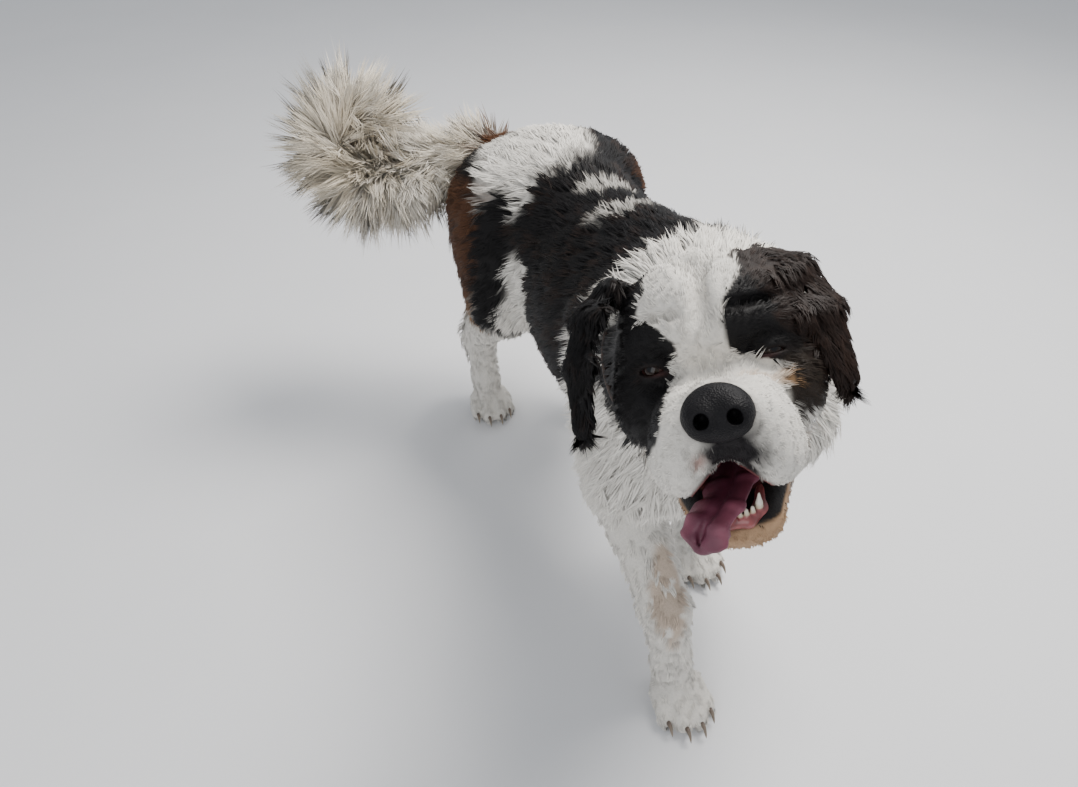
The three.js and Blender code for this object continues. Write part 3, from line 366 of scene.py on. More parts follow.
# A closed surface from a field on a grid: one point in each cell that the surface crosses
def surface(field, low, high, cell):
    axes = [np.arange(low[i], high[i] + cell, cell) for i in range(3)]
    shape = tuple(len(a) for a in axes)
    v = np.empty(shape, np.float32)
    y, z = np.meshgrid(axes[1], axes[2], indexing="ij")
    chunk = max(1, 250000 // y.size)
    for i in range(0, shape[0], chunk):
        xs = axes[0][i:i + chunk]
        pts = np.stack([np.broadcast_to(xs[:, None, None], (len(xs),) + y.shape),
                        np.broadcast_to(y, (len(xs),) + y.shape),
                        np.broadcast_to(z, (len(xs),) + z.shape)], -1)
        v[i:i + chunk] = field(pts)
    v[0], v[-1], v[:, 0], v[:, -1], v[:, :, 0], v[:, :, -1] = (cell,) * 6
    inside = v < 0
    corners = [(i, j, k) for i in (0, 1) for j in (0, 1) for k in (0, 1)]
    n = tuple(s - 1 for s in shape)
    count = sum(inside[i:i + n[0], j:j + n[1], k:k + n[2]].astype(np.int8) for i, j, k in corners)
    cells = np.argwhere((count > 0) & (count < 8))
    ids = np.full(n, -1, np.int64)
    ids[tuple(cells.T)] = np.arange(len(cells))
    total, hits = np.zeros((len(cells), 3)), np.zeros(len(cells))
    for a in corners:
        for axis in range(3):
            if a[axis]:
                continue
            b = tuple(a[q] + (q == axis) for q in range(3))
            va = v[tuple((cells + a).T)]
            vb = v[tuple((cells + b).T)]
            cross = (va < 0) != (vb < 0)
            t = np.where(cross, va / np.where(cross, va - vb, 1), 0)
            point = np.array(a, float) + t[:, None] * (np.array(b) - np.array(a))
            total += np.where(cross[:, None], point, 0)
            hits += cross
    verts = (cells + total / hits[:, None]) * cell + np.array(low, float)
    faces = []
    for axis in range(3):
        u, w = (axis + 1) % 3, (axis + 2) % 3
        one = [slice(None)] * 3
        two = [slice(None)] * 3
        one[axis], two[axis] = slice(0, -1), slice(1, None)
        edge = np.argwhere(inside[tuple(one)] != inside[tuple(two)])
        keep = (edge[:, u] > 0) & (edge[:, w] > 0) & (edge[:, u] < n[u]) & (edge[:, w] < n[w])
        edge = edge[keep]
        du, dw = np.eye(3, dtype=int)[u], np.eye(3, dtype=int)[w]
        quad = np.stack([ids[tuple((edge - o).T)] for o in (0 * du, du, du + dw, dw)], 1)
        flip = ~inside[tuple(edge.T)]
        quad[flip] = quad[flip][:, ::-1]
        faces.append(quad)
    return verts, np.concatenate(faces)


def make_mesh(name, verts, faces):
    """verts in millimetres in the dog's own frame"""
    mesh = bpy.data.meshes.new(name)
    verts = (np.asarray(verts, float) - ORIGIN) / 1000
    faces = np.asarray(faces)
    mesh.vertices.add(len(verts))
    mesh.vertices.foreach_set("co", verts.astype(np.float32).ravel())
    sides = faces.shape[1]
    mesh.loops.add(faces.size)
    mesh.loops.foreach_set("vertex_index", faces.astype(np.int32).ravel())
    mesh.polygons.add(len(faces))
    mesh.polygons.foreach_set("loop_start", np.arange(0, faces.size, sides, dtype=np.int32))
    mesh.polygons.foreach_set("loop_total", np.full(len(faces), sides, np.int32))
    mesh.update(calc_edges=True)
    mesh.validate()
    mesh.shade_smooth()
    obj = bpy.data.objects.new(name, mesh)
    bpy.context.scene.collection.objects.link(obj)
    return obj


def paint(obj, rgb):
    layer = obj.data.attributes.new("coat", "FLOAT_COLOR", "POINT")
    data = np.ones((len(obj.data.vertices), 4), np.float32)
    data[:, :3] = rgb
    layer.data.foreach_set("color", data.ravel())


def settle(field, verts, rounds=2, e=0.6):
    """Moves points onto the zero of the field, and gives the normals there"""
    for _ in range(rounds):
        d = field(verts)
        g = np.stack([field(verts + s) - field(verts - s) for s in np.eye(3) * e], -1) / (2 * e)
        n2 = np.maximum((g * g).sum(-1), 0.2)
        verts = verts - np.clip(d / n2, -3, 3)[:, None] * g
    return verts, unit(g)


# Smooth noise of a point: sums of turned waves
WAVES = [(unit(rng.normal(size=3)), rng.uniform(0, 6.28), rng.uniform(0.7, 1.4)) for _ in range(9)]


def noise(p, size, seed=0):
    p = np.asarray(p, float) / size * 6.28
    total = 0
    for i, (way, phase, rate) in enumerate(WAVES):
        q = p * rate + seed * 3.1
        total = total + np.sin(q @ way + phase + 1.3 * np.sin(q @ np.roll(way, 1) * 0.7 + i + seed))
    return total / 4.5


WHITE, CREAM = vec(0.80, 0.765, 0.70), vec(0.70, 0.60, 0.44)
BLACK, BROWN, TAN = vec(0.0065, 0.0058, 0.0060), vec(0.070, 0.030, 0.014), vec(0.40, 0.23, 0.11)
GREY_BROWN = vec(0.075, 0.052, 0.036)
FLESH, DARK_FLESH = vec(0.42, 0.16, 0.15), vec(0.03, 0.012, 0.012)


def blob(p, c, r, soft=0.18, wobble=0.12):
    """1 inside an uneven egg, 0 outside"""
    d = np.linalg.norm((p - vec(*c)) / vec(*r), axis=-1) + wobble * noise(p, 90, c[0])
    return step(1 + soft, 1 - soft, d)


def painted_ear_shadow(p):
    """1 where the shadow under the right ear, between the cheek and the ear, is painted black"""
    return blob(to_head(p), (-128, 96, -6), (88, 118, 98), 0.1, 0.06)


def tail_colour(p):
    t, _, _ = tail_place(p)
    n = noise(p, 60, 2)
    middle = step(110, 40, np.linalg.norm(p - PLUME, axis=-1))
    cream = mix(WHITE, CREAM, np.clip(0.42 + 0.3 * n + 0.25 * middle, 0, 1))
    return mix(cream, BROWN * 1.3, step(0.95, 0.55, t + 0.15 * n))


def layered(colour, *layers):
    """colour with each shade laid over it in turn, by its share"""
    for shade, share in layers:
        colour = mix(colour, shade, share)
    return colour


def body_colour(p):
    """The coat's colour on trunk, neck, legs and tail, by place in the dog's frame"""
    x, y, z = xyz(p)
    n, n2 = noise(p, 130), noise(p, 45, 2)
    # The black saddle over the back and flanks, browner at its edges
    low = 430 + 30 * n + 40 * step(-200, -330, y) + 30 * step(60, 200, y)
    saddle = step(low - 18, low + 18, z) * step(-322, -285, y + 18 * n + 0.35 * (z - 650)) * step(545, 500, y)
    edge = step(low + 70, low - 5, z)
    dark = mix(BLACK, BROWN, np.clip(0.16 * step(0.1, 0.7, n2) + 0.45 * edge, 0, 1))
    belly = step(low - 45, low - 15, z) * (1 - saddle) * step(-230, -170, y) * step(330, 280, y)
    # Two pale stripes on the spine
    pale = blob(p, (26, 84, 722), (50, 24, 40), 0.4, 0.25) + blob(p, (6, -24, 738), (58, 17, 40), 0.5, 0.3)
    # Reddish brown buttocks, paler below, a white thigh and a dark stripe between them
    rear = step(226, 250, y + 10 * n) * step(70, 100, np.abs(x))
    rear = rear * step(330, 365, z) * step(672, 640, z + 10 * n2)
    ruddy = mix(mix(BROWN * 1.15, TAN * 0.55, step(480, 360, z)), BLACK, 0.45 * step(0.0, 0.6, n2))
    thigh = blob(p, (-150, 122, 455), (120, 66, 150), 0.12) * step(-50, -80, x)
    thigh = np.maximum(thigh, blob(p, (140, 110, 430), (110, 60, 110), 0.12) * step(50, 80, x))
    stripe = step(176, 188, y + 8 * n) * step(244, 228, y + 10 * n)
    stripe = stripe * step(360, 400, z) * step(90, 110, np.abs(x)) * step(690, 660, z)
    # White collar of hair, throat and breast, tan at its lower left edge and down the forelegs
    nape = step(-235, -268, y + 0.35 * (z - 650) + 12 * n)
    ruff = blob(p, (60, -470, 640), (60, 90, 90), 0.3)
    streak = blob(p, (-92, -425, 300), (26, 60, 110), 0.3) + blob(p, (120, -215, 290), (22, 50, 90), 0.3)
    return layered(np.broadcast_to(WHITE, p.shape), (dark, saddle), (TAN, belly * 0.6),
                   (WHITE, blob(p, (-30, 305, 725), (112, 118, 95))),
                   (WHITE, blob(p, (-128, 225, 690), (62, 78, 62))),
                   (WHITE * 0.7, np.clip(pale, 0, 0.7)), (ruddy, rear), (WHITE, thigh), (BLACK, stripe),
                   (WHITE, nape), (TAN * 1.15, 0.75 * ruff), (TAN, np.clip(streak, 0, 0.55) * (n2 > -0.4)),
                   # The shadow under the right ear, painted black
                   (BLACK, painted_ear_shadow(p)))


# Heights up the head, and how far out the inner edge of each black patch lies there
PATCH_EDGE_RIGHT = ([-66, -45, -13, -4, 12, 30, 44, 54, 60, 80, 100],
                    [66, 52, 41, 33, 29, 31, 41, 60, 61, 50, 46])
PATCH_EDGE_LEFT = ([-14, -6, 0, 10, 40, 60, 80, 110], [90, 64, 42, 19, 16, 20, 36, 42])


def head_colour(q):
    """The coat's colour on the head, by place in the head's frame"""
    x, y, z = xyz(q)
    n, n2 = noise(q, 60), noise(q, 22, 1)
    # A black patch over each eye, joined to the ear behind it, with the white blaze between them
    wander = 2.5 * n + 1.5 * n2
    edge = np.interp(z, *PATCH_EDGE_RIGHT)
    right = step(-edge + 2, -edge - 2, x + wander) * step(150, 120, y) * step(-70, -60, z + 4 * n)
    edge = np.interp(z, *PATCH_EDGE_LEFT)
    left = step(edge - 2, edge + 2, x + wander) * step(150, 120, y)
    outer = step(58, 84, x + 6 * n) * step(90, 40, z) * 0.3
    cheek = step(54, 66, x + 4 * n) * step(-66, -54, z + 5 * n) * step(4, -6, z) * step(-60, -42, y)
    band = step(4, -3, limb(q, (24, -50, -5), (66, -20, -20), 5, 7) + 3 * n2)
    ears = [(mix(BLACK, BROWN, 0.16 * (s > 0) + 0.08 * (n2 > 0.3)), step(7, 4, ear_field(q, s)) * (x * s > 0))
            for s in (-1, 1)]
    # Pigment under the nose, freckles, pink and black at the lips
    spot = np.exp(-(((x - 6) / 21) ** 2 + ((z + 60) / 24) ** 2)) * step(-100, -112, y)
    above = np.exp(-((x / 30) ** 2 + ((z - 2) / 9) ** 2)) * step(-95, -108, y)
    freckle = np.exp(-(((x - 8) / 3.5) ** 2 + ((z - 16) / 3) ** 2 + ((y + 96) / 12) ** 2))
    pink = np.exp(-(((x + 21) / 5) ** 2 + ((z + 64) / 6) ** 2)) * step(-90, -105, y)
    lips = step(9, 5, mouth_gap(q)) * step(-30, -60, y) * step(-108, -96, z)
    rims = [(vec(0.012, 0.008, 0.007), step(3.6, 1.4, eye_rim(q, s))) for s in (-1, 1)]
    # The lower jaw: tan chin with a black lip, and a brown fringe under it
    _, j_y, j_z = xyz(to_jaw(q))
    low = step(-60, -66, j_z) * step(30, 10, y) * step(60, 50, np.abs(x))
    under = step(-66, -92, z) * step(-70, -35, y) * step(120, 70, y)
    return layered(np.broadcast_to(WHITE, q.shape), (BLACK, right),
                   (mix(BLACK, GREY_BROWN * 0.6, outer), left), (GREY_BROWN * 0.3, cheek),
                   (TAN, band * 0.5), *ears,
                   (vec(0.014, 0.012, 0.013), np.clip(2.0 * spot + 0.3 * n2 * (spot > 0.1), 0, 1)),
                   (vec(0.16, 0.13, 0.11), np.clip(1.1 * above * (0.5 + 0.6 * n2), 0, 0.85)),
                   (vec(0.10, 0.07, 0.05), freckle), (vec(0.5, 0.25, 0.2), 0.6 * pink),
                   (vec(0.02, 0.014, 0.014), lips * (0.55 + 0.45 * step(30, 10, np.abs(x)))), *rims,
                   (TAN * 1.1, low * step(-40, -60, j_y) * 0.9),
                   (mix(TAN * 0.8, BROWN, 0.6 * (n2 > 0.1)), under * 0.75),
                   (vec(0.012, 0.01, 0.01), low * step(-80, -76, j_z) * step(-20, -50, j_y)))


# Materials: all from nodes
def material(name):
    mat = bpy.data.materials.new(name)
    mat.use_nodes = True
    tree = mat.node_tree
    bsdf = tree.nodes["Principled BSDF"]
    return mat, tree, bsdf


def node(tree, kind, **values):
    made = tree.nodes.new(kind)
    for key, value in values.items():
        if key.startswith("in_"):
            made.inputs[key[3:]].default_value = value
        else:
            setattr(made, key, value)
    return made


def noise_node(tree, scale, detail=4, rough=0.6):
    where = node(tree, "ShaderNodeTexCoord")
    made = node(tree, "ShaderNodeTexNoise", in_Scale=scale, in_Detail=detail, in_Roughness=rough)
    tree.links.new(where.outputs["Object"], made.inputs["Vector"])
    return made


def ranged(tree, value, low, high, top=1.0):
    """value from 0 to top, mapped to low to high"""
    span = node(tree, "ShaderNodeMapRange", **{"in_From Max": top, "in_To Min": low, "in_To Max": high})
    tree.links.new(value, span.inputs["Value"])
    return span.outputs["Result"]


def shaded(tree, colour, factor, low, high):
    """colour times a value that runs from low to high with factor"""
    times = node(tree, "ShaderNodeMix", data_type="RGBA", blend_type="MULTIPLY")
    times.inputs["Factor"].default_value = 1
    tree.links.new(colour, times.inputs[6])
    tree.links.new(ranged(tree, factor, low, high), times.inputs[7])
    return times.outputs[2]


def bump(tree, bsdf, height, strength, distance):
    made = node(tree, "ShaderNodeBump")
    made.inputs["Strength"].default_value = strength
    made.inputs["Distance"].default_value = distance
    tree.links.new(height, made.inputs["Height"])
    tree.links.new(made.outputs["Normal"], bsdf.inputs["Normal"])


def painted(name, rough=(0.45, 0.7), vary=(0.85, 1.12), scale=60, spec=0.35, bump_scale=0, bump_depth=0.0):
    """A finish whose colour is the mesh's own painted layer, rougher where it is pale"""
    mat, tree, bsdf = material(name)
    source = node(tree, "ShaderNodeAttribute", attribute_name="coat")
    grain = noise_node(tree, scale)
    colour = shaded(tree, source.outputs["Color"], grain.outputs["Fac"], *vary)
    tree.links.new(colour, bsdf.inputs["Base Color"])
    grey = node(tree, "ShaderNodeRGBToBW")
    tree.links.new(source.outputs["Color"], grey.inputs["Color"])
    tree.links.new(ranged(tree, grey.outputs["Val"], *rough, 0.5), bsdf.inputs["Roughness"])
    bsdf.inputs["Specular IOR Level"].default_value = spec
    if bump_scale:
        bump(tree, bsdf, noise_node(tree, bump_scale, 3).outputs["Fac"], 0.6, bump_depth)
    return mat


def mottled(name, dark, pale, grain, rough):
    """A finish whose colour wanders from dark to pale. grain: the noise's scale, detail and roughness"""
    mat, tree, bsdf = material(name)
    ramp = node(tree, "ShaderNodeValToRGB")
    for stop, colour in zip(ramp.color_ramp.elements, (dark, pale)):
        stop.color = (*colour, 1)
    wander = noise_node(tree, *grain).outputs["Fac"]
    tree.links.new(wander, ramp.inputs["Fac"])
    tree.links.new(ramp.outputs["Color"], bsdf.inputs["Base Color"])
    bsdf.inputs["Roughness"].default_value = rough
    return mat, tree, bsdf, wander


# Directions in which the coat lies, and its lengths in millimetres
NECK_WAY = unit(vec(*NECK_TOP) - vec(*NECK_BASE))
COLLAR_AT = along(NECK_BASE, NECK_TOP, 0.74)
COLLAR_WAY = unit(NECK_WAY + vec(0, 0, 0.1))


def collar_side(p):
    """Distance past the collar's plane, towards the head"""
    return (p - COLLAR_AT) @ COLLAR_WAY


def head_depth(q):
    """The coat's depth on the head: none at the lips and nose, most behind the cheeks"""
    x, y, z = xyz(q)
    bare = np.maximum(step(-112, -122, y) * step(-2, -8, z), mouth_mask(q))
    return (2.2 + 7 * step(10, 90, y)) * (1 - bare)


def nearest_leg(p):
    fields = np.stack([chain(p, leg["joints"][1:], leg["radii"][1:], 30) for leg in LEGS.values()], -1)
    return fields.argmin(-1)


def tail_place(p):
    """How far along the tail's bones the nearest point is, that point, and the bone's way there"""
    best = np.full(p.shape[:-1], 1e9)
    t_best, at_best, way_best = np.zeros_like(best), np.zeros_like(p), np.zeros_like(p)
    for i in range(len(TAIL) - 1):
        a, b = vec(*TAIL[i]), vec(*TAIL[i + 1])
        t = np.clip(((p - a) @ (b - a)) / ((b - a) @ (b - a)), 0, 1)
        at = a + t[..., None] * (b - a)
        d = np.linalg.norm(p - at, axis=-1)
        near = d < best
        best = np.where(near, d, best)
        t_best = np.where(near, i + t, t_best)
        at_best = np.where(near[..., None], at, at_best)
        way_best = np.where(near[..., None], unit(b - a), way_best)
    return t_best, at_best, way_best


def is_tail(p):
    return (tail_bones(p) < trunk(p) - 8) & (p[..., 1] > 400)


def body_coat(p, n):
    """On trunk, neck, legs and tail: the hair's lie, length, tip height over the skin and width,
    how far it stands out, and where there is none"""
    x, y, z = xyz(p)
    down = vec(0, 0, -1.0)
    lie = np.broadcast_to(vec(0, 1, -0.45), p.shape).copy()
    lie[..., 2] -= 0.5 * np.abs(n[..., 0])
    length = np.full(x.shape, 34.0)
    high = np.full(x.shape, 9.5)
    width = np.full(x.shape, 2.1)
    # Neck and ruff: away from the head, and hanging
    ruff, rump = long_haired(p)
    lie = mix(lie, -NECK_WAY + vec(0, 0, -0.75), ruff)
    length, high, width = length + 42 * ruff, high + 19 * ruff, width + 0.5 * ruff
    front = step(-290, -350, y) * step(600, 520, z) * step(330, 420, z)
    lie = mix(lie, vec(0, 0.2, -1), front)
    # Belly and breeches
    belly = step(430, 380, z) * step(-260, -200, y) * step(330, 280, y) * step(0.1, -0.4, n[..., 2])
    lie = mix(lie, vec(0, 0.8, -0.6), belly)
    length = length + 22 * belly
    lie = mix(lie, vec(0, 0.25, -1), np.maximum(rump, step(240, 300, y) * step(560, 500, z)))
    length, high, width = length + 46 * rump, high + 22 * rump, width + 0.5 * rump
    # Legs
    leg = step(430, 370, z)
    behind = step(0.1, 0.7, n[..., 1]) * leg
    lie = mix(lie, down + vec(0, 0.15, 0), leg)
    feather = behind * step(110, 170, z)
    length = blend(length, 17 + 34 * feather, leg)
    high = blend(high, 6 + 12 * feather, leg)
    width = blend(width, 1.6, leg)
    paw = step(100, 60, z)
    lie = mix(lie, vec(0, -1, -0.5), paw * step(0.2, -0.2, n[..., 1]))
    length, high, width = blend(length, 9, paw), blend(high, 2.6, paw), blend(width, 1.3, paw)
    # The tail: out of the plume's middle and on towards its tip
    t, at, way = tail_place(p)
    tail = step(0.25, 0.9, t) * is_tail(p)
    out = unit(p - at)
    away = unit(p - PLUME)
    fan = unit(0.9 * out + 0.55 * way + 0.45 * away * step(1.5, 3, t)[..., None] + vec(0, 0, -0.18))
    lie = mix(lie, fan, tail)
    length, width = blend(length, 82 + 40 * step(1.2, 3.2, t), tail), blend(width, 2.4, tail)
    return unit(lie), length, high, width, tail * 0.9, (z < 4) * 1.0


def head_coat(q, n):
    """The same on the head, in its own frame"""
    x, y, z = xyz(q)
    back = step(20, 110, y)
    muzzle = step(-60, -90, y)
    lie = unit(q - vec(0, -150, -30))
    side = step(30, 70, np.abs(x)) * step(-80, -30, y)
    lie = lie + side[..., None] * vec(0, 0.1, -0.55)
    low = step(-70, -100, z)
    lie = lie + low[..., None] * vec(0, 0.5, -0.5)
    length = 8.5 + 6 * step(-50, 10, y) + 32 * back + 12 * side * step(-20, -60, z)
    length = length - 2.5 * muzzle
    high = 1.7 + 1.6 * step(-50, 20, y) + 10 * back
    width = 0.72 + 0.3 * step(-60, 20, y) + 1.0 * back
    ears = np.zeros(x.shape)
    for s in (-1, 1):
        on = (ear_field(q, s) < np.minimum(head(q, 0.0, False), 6)) & (x * s > 60)
        ears = np.maximum(ears, on)
    lie = mix(lie, vec(0, 0.22, -1), ears)
    length = blend(length, 17 + 9 * step(10, -40, z), ears)
    high, width = blend(high, 3.2, ears), blend(width, 1.3, ears)
    bare = step(8.5, 6.5, mouth_gap(q))
    for s in (-1, 1):
        bare = np.maximum(bare, step(3.4, 2.0, eye_rim(q, s)))
    bare = np.maximum(bare, step(1.0, 0.3, nose_block(q)))
    j = to_jaw(q)
    lip = step(-80, -76, j[..., 2]) * step(-58, -63, j[..., 2]) * step(-20, -40, j[..., 1])
    bare = np.maximum(bare, lip * step(60, 50, np.abs(x)))
    return unit(lie), length, high, width, np.zeros(x.shape), bare


# A hair: points along it, its rings' widths and their corners, the size of its patch on the unwrap,
# and how far its normals turn to the skin's
KNOTS = 3
HAIR_RINGS, HAIR_CORNERS = [0.7, 1.0], [(-0.5, -0.12), (0.5, -0.12), (0, 0.28)]
PATCH, SOFTEN = 0.003, 0.45


def strand_mesh(name, points, outs, widths, colours, uvs):
    """Closed three-sided hairs. points: (hair, point along it, 3); outs: the skin's normal at each root"""
    count, rings = len(points), len(HAIR_RINGS)
    way = np.empty_like(points)
    way[:, 1:-1] = points[:, 2:] - points[:, :-2]
    way[:, 0], way[:, -1] = points[:, 1] - points[:, 0], points[:, -1] - points[:, -2]
    way = unit(way)
    side = unit(np.cross(outs[:, None], way))
    up = np.cross(way, side)
    verts = np.empty((count, 3 * rings + 1, 3))
    lean = np.empty_like(verts)
    for r in range(rings):
        for c, (a, b) in enumerate(HAIR_CORNERS):
            off = side[:, r] * a + up[:, r] * b
            verts[:, 3 * r + c] = points[:, r] + off * (widths * HAIR_RINGS[r])[:, None]
            lean[:, 3 * r + c] = unit(off + 0.25 * up[:, r])
    verts[:, -1] = points[:, -1]
    lean[:, -1] = up[:, -1]
    faces = [(0, 2, 1)]
    for r in range(rings - 1):
        for c in range(3):
            a, b = 3 * r + c, 3 * r + (c + 1) % 3
            faces += [(a, b, b + 3), (a, b + 3, a + 3)]
    top = 3 * (rings - 1)
    faces += [(top + c, top + (c + 1) % 3, 3 * rings) for c in range(3)]
    per = 3 * rings + 1
    every = (np.array(faces)[None] + (np.arange(count) * per)[:, None, None]).reshape(-1, 3)
    obj = make_mesh(name, verts.reshape(-1, 3), every)
    # Painted shade: each hair is darker at its root, where shade falls down in the coat, and paler towards
    # its tip
    fade = np.array([0.0] * 3 + [0.6] * 3 + [1.0])
    shade = (0.74 + 0.34 * fade)[None, :, None]
    paint(obj, np.clip(colours[:, None] * shade, 0, 1).reshape(-1, 3))
    layer = obj.data.uv_layers.new(name="OFBake")
    spread = np.array([(a[0], 0) for a in HAIR_CORNERS] * rings + [(0, 0)]) * PATCH
    spread[:, 1] = (fade - 0.5) * PATCH
    uv = (uvs[:, None] + spread[None]).reshape(-1, 2)
    layer.data.foreach_set("uv", uv[every.ravel()].astype(np.float32).ravel())
    normal = unit(lean * (1 - SOFTEN) + outs[:, None] * SOFTEN).reshape(-1, 3)
    obj.data.normals_split_custom_set_from_vertices(normal.astype(np.float32))
    return obj


def spread_roots(verts, faces, weight, count):
    """Random points on the surface, as many in each place as its area times its weight"""
    a, b, c = verts[faces[:, 0]], verts[faces[:, 1]], verts[faces[:, 2]]
    area = np.linalg.norm(np.cross(b - a, c - a), axis=1) * weight
    pick = np.searchsorted(np.cumsum(area) / area.sum(), rng.random(count))
    pick = np.minimum(pick, len(faces) - 1)
    u, v = rng.random(count), rng.random(count)
    over = u + v > 1
    u, v = np.where(over, 1 - u, u), np.where(over, 1 - v, v)
    return a[pick] + u[:, None] * (b - a)[pick] + v[:, None] * (c - a)[pick]


def tufts(name, field, roots, plan, colour, chart, per, radius, clump, turn=None, jitter=0.16, rise=0.75):
    """Tufts of hairs over a field's surface, in the field's frame. turn takes points to the dog's frame"""
    roots, normals = settle(field, roots, 2)
    lie, length, high, width, stand, bare = plan(roots, normals)
    keep = bare < 0.5
    roots, normals, lie = roots[keep], normals[keep], lie[keep]
    length, high, width, stand = length[keep], high[keep], width[keep], stand[keep]
    count = len(roots)
    lie = lie + rng.normal(size=lie.shape) * jitter
    flat = unit(lie - (lie * normals).sum(1, keepdims=True) * normals)
    outward = step(0.45, 0.85, (unit(lie) * normals).sum(1))
    stand = np.maximum(stand, outward * 0.95)
    flow = unit(flat * (1 - stand)[:, None] + unit(lie) * stand[:, None])
    length = length * rng.uniform(0.8, 1.18, count)
    high = high * rng.uniform(0.72, 1.12, count)
    spine = [roots - normals * 2.0]
    for i in range(1, KNOTS):
        t = i / (KNOTS - 1)
        p = roots + flow * (length * t)[:, None]
        want = high * t ** rise
        for share in (1.0, 0.7):
            lift = np.clip((want - field(p)) * (1 - stand) * share, -0.3 * length * t, 0.6 * length * t)
            p = p + normals * lift[:, None]
        p[:, 2] -= (stand - 0.95 * outward).clip(0, 1) * length * 0.12 * t * t
        spine.append(p)
    spine = np.stack(spine, 1)
    across = unit(np.cross(normals, flow))
    each = count * per
    tuft = np.repeat(np.arange(count), per)
    ring = np.sqrt(rng.random(each)) * radius
    angle = rng.uniform(0, 2 * np.pi, each)
    off = across[tuft] * (ring * np.cos(angle))[:, None] + flat[tuft] * (ring * np.sin(angle))[:, None]
    t = np.linspace(0, 1, KNOTS)[None, :, None]
    hair = spine[tuft] + off[:, None] * (1 - clump * t ** 1.3)
    stretch = rng.uniform(0.74, 1.08, each)[:, None, None]
    hair = hair[:, :1] + (hair - hair[:, :1]) * (1 + (stretch - 1) * t)
    hair[:, 1:] += rng.normal(size=(each, KNOTS - 1, 3)) * (length[tuft] * 0.028)[:, None, None] * t[:, 1:]
    paint_at = roots[tuft] + off
    tint = rng.uniform(0.86, 1.12, count)[tuft] * rng.uniform(0.88, 1.1, each)
    colours = colour(paint_at) * tint[:, None]
    uvs = chart(roots, normals)[tuft]
    outs = normals[tuft]
    if turn is None:
        hair[..., 2] = np.maximum(hair[..., 2], 1.5)
    else:
        hair = turn(hair)
        outs = unit(turn(paint_at + outs) - turn(paint_at))
    widths = width[tuft] * rng.uniform(0.75, 1.2, each)
    return strand_mesh(name, hair, outs, widths, colours, uvs)


def unwrapped(u, v):
    """u and v from 0 to 1, with a margin at the edges"""
    return np.stack([0.02 + 0.96 * u, 0.02 + 0.96 * v], -1)


def cylinder_chart(axis_at, axis_way, low, high):
    axis_way = unit(axis_way)
    x = unit(np.cross(axis_way, (0.3, 0.2, 1) if abs(axis_way[2]) < 0.9 else (1, 0, 0)))
    y = np.cross(axis_way, x)

    def chart(p, n):
        d = p - vec(*axis_at)
        u = np.arctan2(d @ y, d @ x) / (2 * np.pi) + 0.5
        v = np.clip((d @ axis_way - low) / (high - low), 0, 1)
        return unwrapped(u, v)
    return chart


def head_chart(q, n):
    d = unit(q - vec(0, 20, 0))
    return np.stack([0.02 + 0.96 * (np.arctan2(d[:, 0], -d[:, 1]) / (2 * np.pi) + 0.5),
                     0.5 + 0.96 * np.arcsin(np.clip(d[:, 2], -1, 1)) / np.pi], -1)


def ear_chart(q, n):
    s = q[:, 0] > 0
    outer = n[:, 0] * np.where(s, 1, -1) > 0
    u = np.clip((q[:, 1] + 20) / 150, 0, 1) * 0.22 + 0.02 + 0.25 * s + 0.5 * outer
    return np.stack([u, 0.02 + 0.96 * np.clip((q[:, 2] + 90) / 210, 0, 1)], -1)


def leg_chart(p, n):
    which = nearest_leg(p)
    u = np.zeros(len(p))
    for i, leg in enumerate(LEGS.values()):
        line = np.array(leg["joints"])
        order = np.argsort(line[:, 2])
        mid_x = np.interp(p[:, 2], line[order, 2], line[order, 0])
        mid_y = np.interp(p[:, 2], line[order, 2], line[order, 1])
        turn = np.arctan2(p[:, 0] - mid_x, p[:, 1] - mid_y) / (2 * np.pi) + 0.5
        u = np.where(which == i, 0.01 + 0.24 * turn + 0.25 * i, u)
    return np.stack([u, 0.02 + 0.96 * np.clip(p[:, 2] / 560, 0, 1)], -1)


def tail_chart(p, n):
    t, at, way = tail_place(p)
    out = p - at
    x = unit(np.cross(way, (0.1, 0.3, 1)))
    y = np.cross(way, x)
    u = np.arctan2((out * y).sum(-1), (out * x).sum(-1)) / (2 * np.pi) + 0.5
    return unwrapped(u, np.clip(t / 7, 0, 1))


# The skin: a fine shell for the head and a coarser one for the rest, which overlap under the collar
FINE = 2.4
COARSE = 7


def head_shell(q):
    p = from_head(q)
    near = torso(p) + 16
    d = join(near, head(q, head_depth(q)), 30)
    return np.maximum(d, -collar_side(p) - 22)


def body_shell(p):
    q = to_head(p)
    core = join(egg(q, *SKULL), egg(q, *THROAT), 26)
    d = join(skin_body(p), core + 9, 30)
    return np.maximum(d, collar_side(p) - 8)


head_verts, head_quads = surface(head_shell, (-160, -150, -190), (150, 210, 150), FINE)
body_verts, body_quads = surface(body_shell, (-430, -600, -6), (210, 660, 900), COARSE)
body_verts[:, 2] = np.maximum(body_verts[:, 2], 1.0)
skin_verts = np.concatenate([from_head(head_verts), body_verts])
skin_faces = np.concatenate([head_quads, body_quads + len(head_verts)])
skin = make_mesh("skin", skin_verts, skin_faces)
inside_mouth = mouth_mask(head_verts)
head_paint = head_colour(head_verts)
gums = mix(vec(0.20, 0.055, 0.055), DARK_FLESH, step(-55, -20, head_verts[:, 1]))
head_paint = mix(head_paint, gums, inside_mouth)
haw = np.zeros(len(head_verts))
for s in (-1, 1):
    c = head_verts - eye_at(s) - vec(-3 * s, -12, -5)
    haw = np.maximum(haw, np.exp(-((c / vec(8, 8, 2.2)) ** 2).sum(-1)))
head_paint = mix(head_paint, FLESH * 0.3, 0.4 * haw)
body_paint = np.where(is_tail(body_verts)[:, None], tail_colour(body_verts), body_colour(body_verts))
under = np.concatenate([head_paint, body_paint])
paint(skin, under * 0.9)
